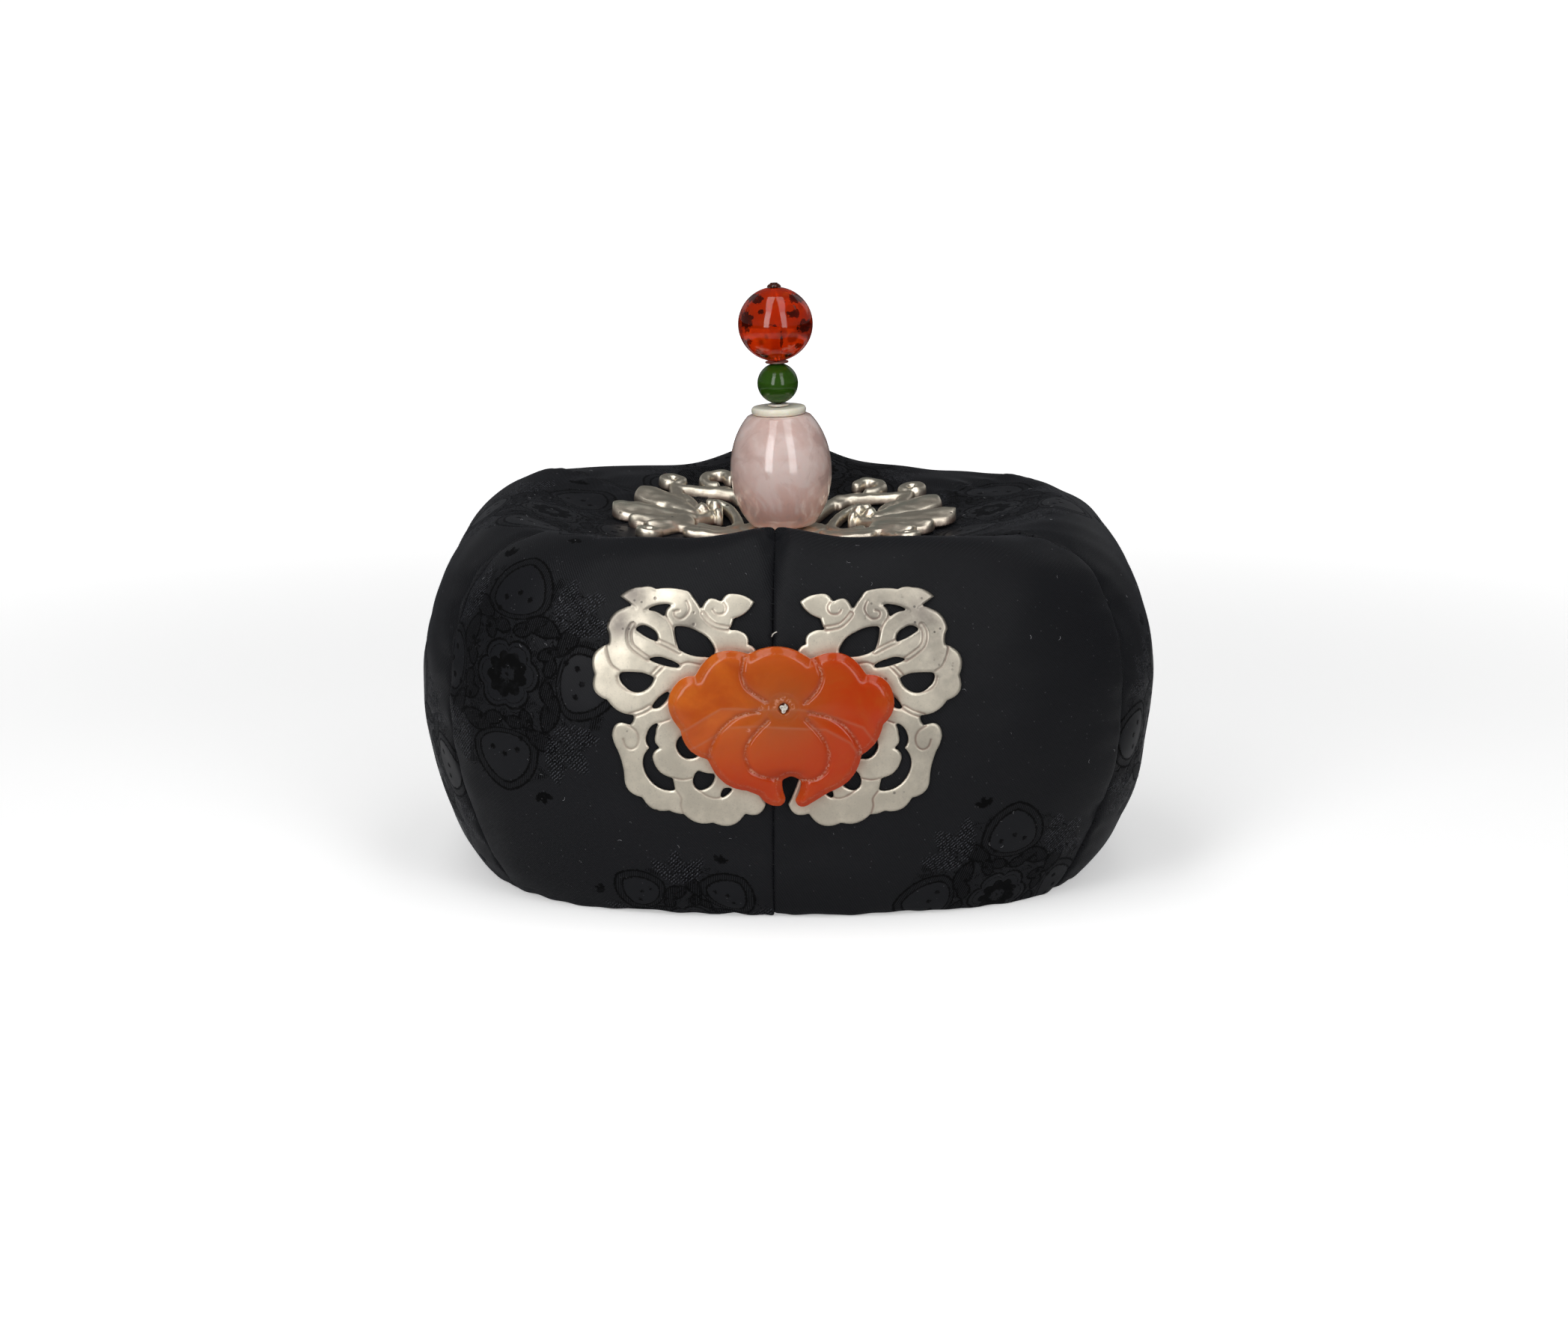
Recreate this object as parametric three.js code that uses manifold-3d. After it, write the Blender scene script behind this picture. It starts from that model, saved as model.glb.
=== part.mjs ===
// A padded bridal coronet: six black silk panels sewn round a hollow for the head, pierced silver plates
// and a carved stone butterfly on the front, a cast silver plate and a strung bead finial on the crown.
// Millimetres, +Z up, front towards -Y. The coronet stands on its hem.
import * as THREE from "three";
import { mergeVertices } from "three/addons/utils/BufferGeometryUtils.js";
import Module from "manifold-3d";

const wasm = await Module();
wasm.setup();

// Driving dimensions.
const cap = {
  leftWidth: 76,
  rightWidth: 79.5,
  halfDepth: 61,
  rimHeight: 77.5,
  lean: 1.8,
  creaseSpread: 4,
  seamGap: 0.4,
};

// The padded wall's section, one row a level: from the crown's middle over the rim, down to the hem and up
// the lining. wide, deep and high are shares of the cap's widths, half depth and rim height, and square is
// the plan's superellipse exponent. lift, lean and crease say how much of the seams' rise, of the crown's
// lean to the front and of the seams' crease it takes.
const LEVELS = [
  { level: "crown middle", wide: 0.05, deep: 0.065, high: 0.88, square: 2, lift: 0, lean: 0.1, crease: 0 },
  { level: "bowl inner", wide: 0.24, deep: 0.26, high: 0.922, square: 2, lift: 0.05, lean: 0.6, crease: 0.2 },
  { level: "bowl outer", wide: 0.46, deep: 0.5, high: 0.955, square: 2.3, lift: 0.4, lean: 1.3, crease: 0.5 },
  { level: "rim inside", wide: 0.65, deep: 0.67, high: 0.99, square: 2.6, lift: 0.9, lean: 0.5, crease: 0.9 },
  { level: "rim", wide: 0.76, deep: 0.78, high: 1, square: 2.9, lift: 1, lean: 0, crease: 1 },
  { level: "shoulder", wide: 0.875, deep: 0.9, high: 0.93, square: 3.2, lift: 0.6, lean: 0, crease: 0.9 },
  { level: "upper wall", wide: 0.96, deep: 0.97, high: 0.78, square: 3.2, lift: 0.1, lean: 0, crease: 0.7 },
  { level: "widest", wide: 1, deep: 1, high: 0.555, square: 3.1, lift: 0, lean: 0, crease: 0.6 },
  { level: "lower wall", wide: 0.975, deep: 0.98, high: 0.32, square: 2.9, lift: 0, lean: 0, crease: 0.6 },
  { level: "skirt", wide: 0.91, deep: 0.935, high: 0.12, square: 2.6, lift: 0, lean: 0, crease: 0.6 },
  { level: "hem outside", wide: 0.845, deep: 0.88, high: 0.02, square: 2.5, lift: 0, lean: 0, crease: 0.3 },
  { level: "hem foot outside", wide: 0.8, deep: 0.83, high: 0, square: 2.5, lift: 0, lean: 0, crease: 0 },
  { level: "hem foot inside", wide: 0.71, deep: 0.71, high: 0, square: 2.5, lift: 0, lean: 0, crease: 0 },
  { level: "lining foot", wide: 0.66, deep: 0.64, high: 0.04, square: 2.4, lift: 0, lean: 0, crease: 0 },
  { level: "lining wall", wide: 0.63, deep: 0.6, high: 0.35, square: 2.3, lift: 0, lean: 0, crease: 0 },
  { level: "lining shoulder", wide: 0.54, deep: 0.52, high: 0.6, square: 2.2, lift: 0, lean: 0, crease: 0 },
  { level: "lining crown", wide: 0.28, deep: 0.28, high: 0.71, square: 2, lift: 0, lean: 0, crease: 0 },
  { level: "lining middle", wide: 0.05, deep: 0.065, high: 0.72, square: 2, lift: 0, lean: 0, crease: 0 },
];
const STEPS_PER_LEVEL = 2;

// The six seams: turn is the angle round the cap from the front, rise how far the seam's peak stands above
// the rim, spread how far to each side, crease how deep it sinks. A panel runs from its seam to the next one.
const SEAMS = [
  { seam: "front", panel: "panel_front_right", turn: -1.5, rise: 2.2, spread: 11, crease: 2.2 },
  { seam: "front right", panel: "panel_side_right", turn: 60, rise: -1.5, spread: 14, crease: 1.6 },
  { seam: "back right", panel: "panel_back_right", turn: 121, rise: 0.8, spread: 16, crease: 2.0 },
  { seam: "back", panel: "panel_back_left", turn: 180, rise: 7, spread: 14, crease: 2.2 },
  { seam: "back left", panel: "panel_side_left", turn: 239, rise: 2.4, spread: 18, crease: 1.8 },
  { seam: "front left", panel: "panel_front_left", turn: 300, rise: -1.5, spread: 14, crease: 1.6 },
];
const PANEL_STATIONS = 8;

// The two pierced silver plates on the front, drawn for the left one as it lies against its panel: x from the
// coronet's middle, z up, bow the bulge of the arc to the next point as a share of its chord. A bow above 0
// bulges out of the metal in the outline, and into it round a hole.
const plate = { middle: -0.75, thick: 0.7, standOff: 0.35, edgeLength: 8, arcStep: 1.9 };
const PLATE_OUTLINE = [
  // the swept tip at the top, and its back
  { x: -32.3, z: 67.8, bow: 0.1 },
  { x: -27.9, z: 69.6, bow: 0.1 },
  { x: -25.0, z: 69.3, bow: 0.05 },
  { x: -19.5, z: 69.2, bow: 0.15 },
  { x: -17.6, z: 67.9, bow: 0.04 },
  // the leaf that points to the middle
  { x: -15.9, z: 65.4, bow: 0.33 },
  { x: -12.0, z: 67.0, bow: 0.2 },
  { x: -9.2, z: 68.5, bow: 0.08 },
  { x: -5.3, z: 67.0, bow: 0.12 },
  { x: -9.5, z: 63.7, bow: 0.1 },
  // down the inner side, under the stone
  { x: -10.7, z: 61.3, bow: 0.1 },
  { x: -7.7, z: 61.1, bow: 0.22 },
  { x: -6.5, z: 58.6, bow: 0.15 },
  { x: -4.8, z: 57.2, bow: -0.12 },
  { x: -6.0, z: 45.4, bow: -0.08 },
  // the lower lobes
  { x: -3.0, z: 25.9, bow: 0.28 },
  { x: -7.2, z: 23.8, bow: 0.24 },
  { x: -13.7, z: 21.8, bow: 0.16 },
  { x: -19.6, z: 23.6, bow: 0.08 },
  { x: -22.5, z: 24.3, bow: 0.2 },
  { x: -28.0, z: 27.0, bow: 0.22 },
  { x: -31.6, z: 31.4, bow: -0.04 },
  { x: -32.9, z: 36.9, bow: 0.05 },
  // the lower curl and the two outer lobes
  { x: -34.0, z: 40.0, bow: 0.36 },
  { x: -30.4, z: 42.2, bow: -0.15 },
  { x: -29.6, z: 44.3, bow: 0.14 },
  { x: -34.9, z: 47.2, bow: 0.27 },
  { x: -37.4, z: 52.3, bow: 0.27 },
  { x: -34.6, z: 58.4, bow: -0.1 },
  { x: -35.0, z: 61.6, bow: 0.15 },
  { x: -31.6, z: 65.5, bow: 0.12 },
  { x: -29.2, z: 65.7, bow: 0.0 },
];
const PLATE_HOLES = {
  tipSlit: [
    { x: -27.0, z: 65.2, bow: 0.1 },
    { x: -21.7, z: 66.3, bow: -0.2 },
    { x: -23.2, z: 63.9, bow: -0.1 },
  ],
  innerEye: [
    { x: -21.3, z: 62.1, bow: 0.08 },
    { x: -16.4, z: 61.0, bow: 0.12 },
    { x: -13.2, z: 57.5, bow: 0.3 },
    { x: -15.2, z: 56.2, bow: 0.08 },
    { x: -20.4, z: 57.6, bow: 0.05 },
  ],
  upperLeaf: [
    { x: -29.2, z: 61.5, bow: 0.2 },
    { x: -26.2, z: 61.8, bow: 0.2 },
    { x: -24.7, z: 59.1, bow: 0.05 },
  ],
  middleSlit: [
    { x: -26.6, z: 55.6, bow: 0.12 },
    { x: -22.8, z: 55.7, bow: 0.05 },
    { x: -20.2, z: 54.5, bow: 0.25 },
    { x: -21.0, z: 54.0, bow: 0.05 },
  ],
  outerDrop: [
    { x: -32.4, z: 52.0, bow: 0.25 },
    { x: -31.7, z: 52.9, bow: 0.02 },
    { x: -28.2, z: 52.9, bow: 0.06 },
    { x: -25.4, z: 51.9, bow: 0.12 },
    { x: -28.0, z: 49.0, bow: 0.16 },
    { x: -31.2, z: 50.0, bow: 0.1 },
  ],
  innerDrop: [
    { x: -26.0, z: 45.8, bow: 0.1 },
    { x: -22.3, z: 49.3, bow: 0.1 },
    { x: -24.0, z: 46.3, bow: 0.15 },
  ],
  crescent: [
    { x: -24.3, z: 42.9, bow: 0.15 },
    { x: -26.9, z: 40.5, bow: 0.15 },
    { x: -26.4, z: 37.6, bow: 0.1 },
    { x: -27.8, z: 34.5, bow: 0.1 },
    { x: -25.5, z: 29.8, bow: 0.12 },
    { x: -21.3, z: 28.7, bow: 0.0 },
    { x: -21.8, z: 31.3, bow: -0.15 },
    { x: -25.6, z: 34.5, bow: -0.25 },
    { x: -24.3, z: 37.6, bow: -0.2 },
    { x: -25.2, z: 40.4, bow: -0.1 },
  ],
  hollow: [
    { x: -20.1, z: 40.1, bow: 0.2 },
    { x: -20.5, z: 36.7, bow: 0.2 },
    { x: -17.4, z: 35.6, bow: 0.2 },
    { x: -16.1, z: 37.9, bow: 0.25 },
  ],
  lowerEye: [
    { x: -17.6, z: 31.3, bow: 0.1 },
    { x: -16.6, z: 32.9, bow: -0.05 },
    { x: -13.3, z: 32.2, bow: 0.2 },
    { x: -16.3, z: 28.7, bow: 0.2 },
  ],
  lowerSlit: [
    { x: -11.6, z: 29.1, bow: 0.1 },
    { x: -9.8, z: 29.1, bow: 0.1 },
    { x: -12.1, z: 27.1, bow: 0.1 },
  ],
};

// The carved stone, drawn the same way. Its back is flat and its face swells to the middle.
const stone = {
  back: -62.6,
  edge: 2.0,
  swell: 1.2,
  reachX: 24,
  reachZ: 18,
  middleZ: 43.5,
  holeRadius: 1.4,
  edgeLength: 9,
  arcStep: 2.6,
};
const STONE_OUTLINE = [
  { x: -6.5, z: 57.3, bow: 0.16 },
  { x: 6.0, z: 56.3, bow: 0.24 },
  { x: 17.1, z: 53.1, bow: 0.2 },
  { x: 22.5, z: 49.2, bow: 0.16 },
  { x: 20.5, z: 43.0, bow: 0.12 },
  { x: 16.2, z: 36.7, bow: 0.15 },
  { x: 9.9, z: 29.1, bow: 0.0 },
  { x: 5.2, z: 26.1, bow: 0.28 },
  { x: 2.9, z: 27.4, bow: -0.06 },
  { x: 4.1, z: 31.2, bow: -0.25 },
  { x: 0.3, z: 31.5, bow: -0.06 },
  { x: 1.0, z: 27.8, bow: 0.25 },
  { x: -1.1, z: 26.1, bow: 0.12 },
  { x: -4.3, z: 28.3, bow: 0.0 },
  { x: -6.8, z: 29.3, bow: 0.14 },
  { x: -13.8, z: 34.0, bow: 0.0 },
  { x: -14.7, z: 35.8, bow: 0.17 },
  { x: -20.1, z: 41.8, bow: 0.0 },
  { x: -21.3, z: 43.4, bow: 0.2 },
  { x: -20.4, z: 51.8, bow: 0.1 },
  { x: -17.1, z: 52.8, bow: 0.23 },
];
const STONE_HOLE = { x: 0.6, z: 46.6 };
const GROOVE = { width: 1.2, depth: 0.6, sides: 4, steps: 6 };
const STONE_GROOVES = {
  topPetalLeft: [[-2.8, 47.9], [-6.6, 50.6], [-7.7, 53.6], [-7.3, 56.6]],
  topPetalRight: [[5.0, 47.8], [7.4, 50.4], [8.2, 53.6], [6.6, 56.6]],
  wingLeft: [[-4.4, 46.0], [-8.7, 44.9], [-11.9, 42.3], [-13.7, 39.0], [-14.5, 36.2]],
  wingRight: [[5.9, 45.7], [10.3, 44.5], [13.4, 42.3], [15.6, 39.0], [16.1, 36.9]],
  bodyLeft: [[-2.6, 44.1], [-5.5, 41.0], [-7.1, 37.8], [-6.2, 34.2], [-3.9, 32.6], [-0.5, 31.9]],
  bodyRight: [[5.2, 44.3], [8.1, 41.0], [9.6, 37.8], [9.3, 34.2], [7.1, 32.0], [4.1, 31.6]],
};

// The cast butterfly on the crown, drawn for the right wing: across from the middle and back from it, in runs
// of metal that are half round and swell from one width to the next. A smooth curve joins each run's points.
const crown = {
  turn: -5,
  standOff: 0.4,
  middleRadius: 9,
  middleHeight: 1.7,
  holeRadius: 1.0,
  runSteps: 4,
  curlSteps: 8,
  curlClosing: 0.62,
  sinkStep: 0.08,
  sinks: 3,
};
const WING_RUNS = {
  petalBack: { path: [[19, 3], [25.5, 9], [31, 14.5]], widths: [3, 9, 5], height: 2.4 },
  petalOuter: { path: [[19, 0.5], [28, 0.5], [37, 1]], widths: [3, 9.5, 5], height: 2.4 },
  petalFrontOuter: { path: [[19, -1.5], [27.5, -5], [35.5, -7.5]], widths: [3, 7, 4], height: 2.2 },
  petalFront: { path: [[19, -3], [25, -7], [31, -11]], widths: [2.5, 5, 3], height: 2 },
  frontStalk: { path: [[21, -5], [23, -8.5], [25.8, -13]], widths: [2.6, 2.4, 2.4], height: 1.8 },
  frontLeaf: { path: [[25, -5.5], [18, -6.8], [8, -5.5]], widths: [2.6, 4.2, 3.4], height: 2.4 },
  frontLobe: { path: [[9, -6.5], [13.5, -10.5], [20.5, -10]], widths: [3.4, 4.6, 3], height: 2.4 },
  backStalk: { path: [[20.5, 3], [23.5, 10], [25.6, 20.4]], widths: [2.4, 2.8, 3], height: 2.2 },
  backBand: { path: [[25, 18.5], [17.5, 19.2], [10, 15], [5, 5.5]], widths: [2.8, 3.4, 3.6], height: 2.3 },
  innerStalk: { path: [[11, 15], [11, 18.5], [12.5, 22.4]], widths: [3, 2.8, 2.4], height: 2.2 },
  loop: { path: [[23.8, 15], [18, 13], [20.5, 4.5]], widths: [2.2, 3, 2.2], height: 2.1 },
  ring: { path: [[20, 1.5], [18, -4], [12.6, -4], [10, 1.5], [12.4, 7]], widths: [2.4, 3, 2], height: 2.1 },
  root: { path: [[11.5, -1.5], [8, -1], [3, 0]], widths: [5, 6, 6], height: 1.7 },
  boss: { path: [[19.6, 0.6], [16, 4], [13, 7.4]], widths: [2.4, 4.4, 2.6], height: 2.4 },
};
const WING_CURLS = [
  { curl: "outer back", x: 27.0, y: 22.8, radius: 2.7, width: 2.3, from: 250, sweep: -380, height: 2.3 },
  { curl: "inner back", x: 15.7, y: 24.6, radius: 4.1, width: 2.4, from: 215, sweep: -350, height: 2.3 },
  { curl: "front", x: 27.6, y: -13.6, radius: 2.1, width: 2.1, from: 150, sweep: 360, height: 2 },
];
// Half the section of a run: shares of its half width and of its height.
const RUN_SECTION = [[1, 0], [0.78, 0.72], [0, 1]];

// The finial's beads, from the crown plate up, on a thread that leans a little to the left.
const finial = {
  x: 0.5,
  lean: 2.2,
  seatGap: 0.3,
  gap: 0.1,
  threadRadius: 0.4,
  threadFoot: 7,
  threadTop: 0.3,
};
const BEADS = [
  { bead: "quartz_barrel", material: "quartz", shape: "round", radius: 10.85, height: 24, endRadius: 6.5 },
  { bead: "white_disc", material: "ivory", shape: "disc", radius: 5.85, height: 1.6, endRadius: 5.6 },
  { bead: "disc_spacer", material: "spacer", shape: "disc", radius: 2.3, height: 0.5, endRadius: 2.2 },
  { bead: "jade_bead", material: "jade", shape: "round", radius: 4.35, height: 8.5, endRadius: 0.9 },
  { bead: "amber_spacer", material: "spacer", shape: "disc", radius: 2.5, height: 0.4, endRadius: 2.4 },
  { bead: "amber_bead", material: "amber", shape: "round", radius: 7.95, height: 15.6, endRadius: 1.2 },
  { bead: "top_seed_bead", material: "amber", shape: "disc", radius: 1.55, height: 1.3, endRadius: 1.1 },
];
// All the beads: the radius of their holes, and how many sides they have for the root of their radius.
const drilled = { hole: 0.7, sidesPerRoot: 7.2 };

// The knot of pale thread in the stone's hole: a ball of it, sunk in the hole, and the thread behind it.
const knot = { radius: 0.95, sunk: 0.1, stem: 2.2, stemRadius: 0.4, rings: 5, sides: 8 };

const MATERIALS = {
  silk: { color: 0x17181c, roughness: 0.6, metalness: 0 },
  silver: { color: 0xc9c4b4, roughness: 0.34, metalness: 1 },
  carnelian: { color: 0xb4461a, roughness: 0.18, metalness: 0 },
  thread: { color: 0xe6ddcf, roughness: 0.9, metalness: 0 },
  quartz: { color: 0xbe9c92, roughness: 0.12, metalness: 0 },
  ivory: { color: 0xc4bda5, roughness: 0.35, metalness: 0 },
  jade: { color: 0x305016, roughness: 0.12, metalness: 0 },
  amber: { color: 0xa8260a, roughness: 0.08, metalness: 0 },
  spacer: { color: 0x8b7f76, roughness: 0.4, metalness: 0 },
};
const materials = {};
for (const [name, look] of Object.entries(MATERIALS)) {
  materials[name] = new THREE.MeshStandardMaterial(look);
}

// The triangles that fill an outline, wound the way that the outline runs.
function facesInOrder(outline, holes = []) {
  const points = [outline, ...holes].flat();
  const runsLeft = THREE.ShapeUtils.area(outline) > 0;
  return THREE.ShapeUtils.triangulateShape(outline, holes).map(([a, b, c]) => {
    const turnsLeft = THREE.ShapeUtils.area([points[a], points[b], points[c]]) > 0;
    return turnsLeft === runsLeft ? [a, b, c] : [a, c, b];
  });
}

// A closed mesh from a list of points and triangles, turned to face out if its faces point inwards.
function closedGeometry(points, triangles) {
  const volume = triangles.reduce((sum, [a, b, c]) => {
    return sum + points[a].dot(new THREE.Vector3().crossVectors(points[b], points[c]));
  }, 0);
  const faces = volume < 0 ? triangles.map(([a, b, c]) => [a, c, b]) : triangles;
  const geometry = new THREE.BufferGeometry().setFromPoints(points);
  geometry.setIndex(faces.flat());
  return geometry;
}

// A geometry's shared vertices merged, with nothing but its positions left, and its faces turned out.
function bareGeometry(geometry) {
  geometry.deleteAttribute("normal");
  geometry.deleteAttribute("uv");
  const merged = mergeVertices(geometry, 1e-4);
  const position = merged.attributes.position;
  const points = [];
  for (let index = 0; index < position.count; index++) {
    points.push(new THREE.Vector3().fromBufferAttribute(position, index));
  }
  const corners = Array.from(merged.index.array);
  const triangles = [];
  for (let start = 0; start < corners.length; start += 3) {
    const [a, b, c] = corners.slice(start, start + 3);
    if (a !== b && b !== c && c !== a) triangles.push([a, b, c]);
  }
  return closedGeometry(points, triangles);
}

function toSolid(geometry) {
  const bare = bareGeometry(geometry);
  const vertProperties = new Float32Array(bare.attributes.position.array);
  const triVerts = new Uint32Array(bare.index.array);
  return new wasm.Manifold(new wasm.Mesh({ numProp: 3, vertProperties, triVerts }));
}

function toGeometry(solid) {
  const mesh = solid.getMesh();
  const geometry = new THREE.BufferGeometry();
  geometry.setAttribute("position", new THREE.BufferAttribute(mesh.vertProperties, 3));
  geometry.setIndex(new THREE.BufferAttribute(mesh.triVerts, 1));
  return geometry;
}

// A closed loop of points from an outline's rows, each arc cut into chords of about the step.
function arcLoop(rows, step) {
  const corners = rows.map((row) => new THREE.Vector2(row.x, row.z));
  const away = THREE.ShapeUtils.area(corners) > 0 ? -1 : 1;
  const loop = [];
  corners.forEach((from, index) => {
    const chord = corners[(index + 1) % corners.length].clone().sub(from);
    const bow = rows[index].bow;
    const side = new THREE.Vector2(-chord.y, chord.x).multiplyScalar(away);
    const count = bow === 0 ? 1 : Math.max(2, Math.round((chord.length() * (1 + 2 * bow * bow)) / step));
    for (let step = 0; step < count; step++) {
      const share = step / count;
      const bulge = 4 * bow * share * (1 - share);
      loop.push(from.clone().addScaledVector(chord, share).addScaledVector(side, bulge));
    }
  });
  return loop;
}

// The inner edges of a flat mesh, longest first, each with its two faces turned so that they start along it.
function innerEdges(points, faces) {
  const sides = new Map();
  faces.forEach((face, index) => {
    face.forEach((from, corner) => {
      const [to, apex] = [face[(corner + 1) % 3], face[(corner + 2) % 3]];
      sides.set(`${from} ${to}`, { index, from, to, apex });
    });
  });
  const edges = [];
  for (const near of sides.values()) {
    const far = sides.get(`${near.to} ${near.from}`);
    const length = points[near.from].distanceTo(points[near.to]);
    if (far && near.from < near.to) edges.push({ near, far, length });
  }
  return edges.sort((one, other) => other.length - one.length);
}

// Swaps the diagonals of a flat mesh until its triangles are as even as they can be.
function evenOut(points, faces) {
  const angleAt = ({ from, to, apex }) => {
    const [one, other] = [from, to].map((corner) => points[corner].clone().sub(points[apex]));
    return Math.abs(one.angleTo(other));
  };
  for (let swapped = true; swapped; ) {
    swapped = false;
    const touched = new Set();
    for (const { near, far } of innerEdges(points, faces)) {
      if (touched.has(near.index) || touched.has(far.index)) continue;
      if (angleAt(near) + angleAt(far) <= Math.PI + 1e-6) continue;
      faces[near.index] = [near.from, far.apex, near.apex];
      faces[far.index] = [far.apex, near.to, near.apex];
      touched.add(near.index).add(far.index);
      swapped = true;
    }
  }
}

// Halves a flat mesh's inner edges until none is longer than the given length.
function refine(points, faces, longest) {
  for (let halved = true; halved; ) {
    evenOut(points, faces);
    halved = false;
    const touched = new Set();
    for (const { near, far, length } of innerEdges(points, faces)) {
      if (length <= longest || touched.has(near.index) || touched.has(far.index)) continue;
      const middle = points.push(points[near.from].clone().lerp(points[near.to], 0.5)) - 1;
      for (const { index, from, to, apex } of [near, far]) {
        faces[index] = [from, middle, apex];
        faces.push([middle, to, apex]);
        touched.add(index);
      }
      halved = true;
    }
  }
  return faces;
}

// A pierced slab between two skins: place gives a point's spot on the back skin, 0, or the front skin, 1.
function slabGeometry(outline, holes, longest, place) {
  const loops = [outline, ...holes];
  const flat = loops.flat().map((point) => point.clone());
  const faces = refine(flat, facesInOrder(outline, holes), longest);
  const points = [...flat.map((point) => place(point, 0)), ...flat.map((point) => place(point, 1))];
  const front = flat.length;
  const triangles = faces.flatMap(([a, b, c]) => [[a, b, c], [front + c, front + b, front + a]]);
  const used = new Set(faces.flatMap(([a, b, c]) => [`${a} ${b}`, `${b} ${c}`, `${c} ${a}`]));
  let start = 0;
  for (const loop of loops) {
    loop.forEach((_, index) => {
      const [a, b] = [start + index, start + ((index + 1) % loop.length)];
      const [from, to] = used.has(`${a} ${b}`) ? [b, a] : [a, b];
      triangles.push([from, to, front + to], [from, front + to, front + from]);
    });
    start += loop.length;
  }
  return closedGeometry(points, triangles);
}

// A column of the section table at a place between its rows, on a smooth curve through them.
function sectionAt(place, column) {
  const row = Math.min(Math.floor(place), LEVELS.length - 2);
  const share = place - row;
  const value = (index) => LEVELS[THREE.MathUtils.clamp(index, 0, LEVELS.length - 1)][column];
  const [before, from, to, after] = [row - 1, row, row + 1, row + 2].map(value);
  const startSlope = (to - before) / 2;
  const endSlope = (after - from) / 2;
  const bend = 3 * (to - from) - 2 * startSlope - endSlope;
  const twist = startSlope + endSlope - 2 * (to - from);
  return from + share * (startSlope + share * (bend + share * twist));
}

// How far apart two turns round the cap are, in degrees.
const turnApart = (turn, other) => Math.abs(THREE.MathUtils.euclideanModulo(turn - other + 180, 360) - 180);

// A point of the padded wall: place is its level in the section table, turn its angle round the cap in
// degrees. With the creases left out it is the taut surface that the metalwork lies on.
function wallPoint(place, turn, creased = true) {
  const sine = Math.sin(THREE.MathUtils.degToRad(turn));
  const cosine = Math.cos(THREE.MathUtils.degToRad(turn));
  const wide = sectionAt(place, "wide") * (sine < 0 ? cap.leftWidth : cap.rightWidth);
  const deep = sectionAt(place, "deep") * cap.halfDepth;
  const square = sectionAt(place, "square");
  const radius = (Math.abs(sine / wide) ** square + Math.abs(cosine / deep) ** square) ** (-1 / square);
  let lift = 0;
  let crease = 0;
  for (const seam of SEAMS) {
    const distance = THREE.MathUtils.degToRad(turnApart(turn, seam.turn)) * radius;
    lift += seam.rise * Math.exp(-((distance / seam.spread) ** 2));
    crease += creased ? seam.crease * Math.exp(-distance / cap.creaseSpread) : 0;
  }
  const reach = radius - crease * sectionAt(place, "crease");
  const rise = lift * sectionAt(place, "lift") - cap.lean * cosine * sectionAt(place, "lean");
  const height = Math.max(0, sectionAt(place, "high") * cap.rimHeight + rise);
  return new THREE.Vector3(reach * sine, -reach * cosine, height);
}

// The place between two levels where a measure of the wall, falling or rising steadily, reaches a value.
function placeWhere(measure, value, low, high) {
  const rising = measure(high) > measure(low);
  for (let round = 0; round < 24; round++) {
    const middle = (low + high) / 2;
    if (measure(middle) < value === rising) low = middle;
    else high = middle;
  }
  return low;
}

const levelOf = (name) => LEVELS.findIndex((row) => row.level === name);

// How far forward the cap's taut front stands at a spot of its face.
function frontReach(x, z) {
  let reach = cap.halfDepth;
  for (let round = 0; round < 6; round++) {
    const turn = THREE.MathUtils.radToDeg(Math.atan2(x, reach));
    const wall = (place) => wallPoint(place, turn, false);
    const spot = wall(placeWhere((place) => wall(place).z, z, levelOf("rim"), levelOf("skirt")));
    reach = Math.sqrt(spot.x ** 2 + spot.y ** 2 - x ** 2);
  }
  return reach;
}

// How high the cap's taut crown stands over a spot of its plan, level across the middle.
function crownHeight(x, y) {
  const radius = Math.max(Math.hypot(x, y), crown.middleRadius);
  const turn = THREE.MathUtils.radToDeg(Math.atan2(x, -y));
  const wall = (place) => wallPoint(place, turn, false);
  const reach = (place) => Math.hypot(wall(place).x, wall(place).y);
  const height = wall(placeWhere(reach, radius, 0, levelOf("rim"))).z;
  const level = wallPoint(placeWhere(reach, crown.middleRadius, 0, levelOf("rim")), 180, false).z;
  return Math.max(height, level);
}

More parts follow.
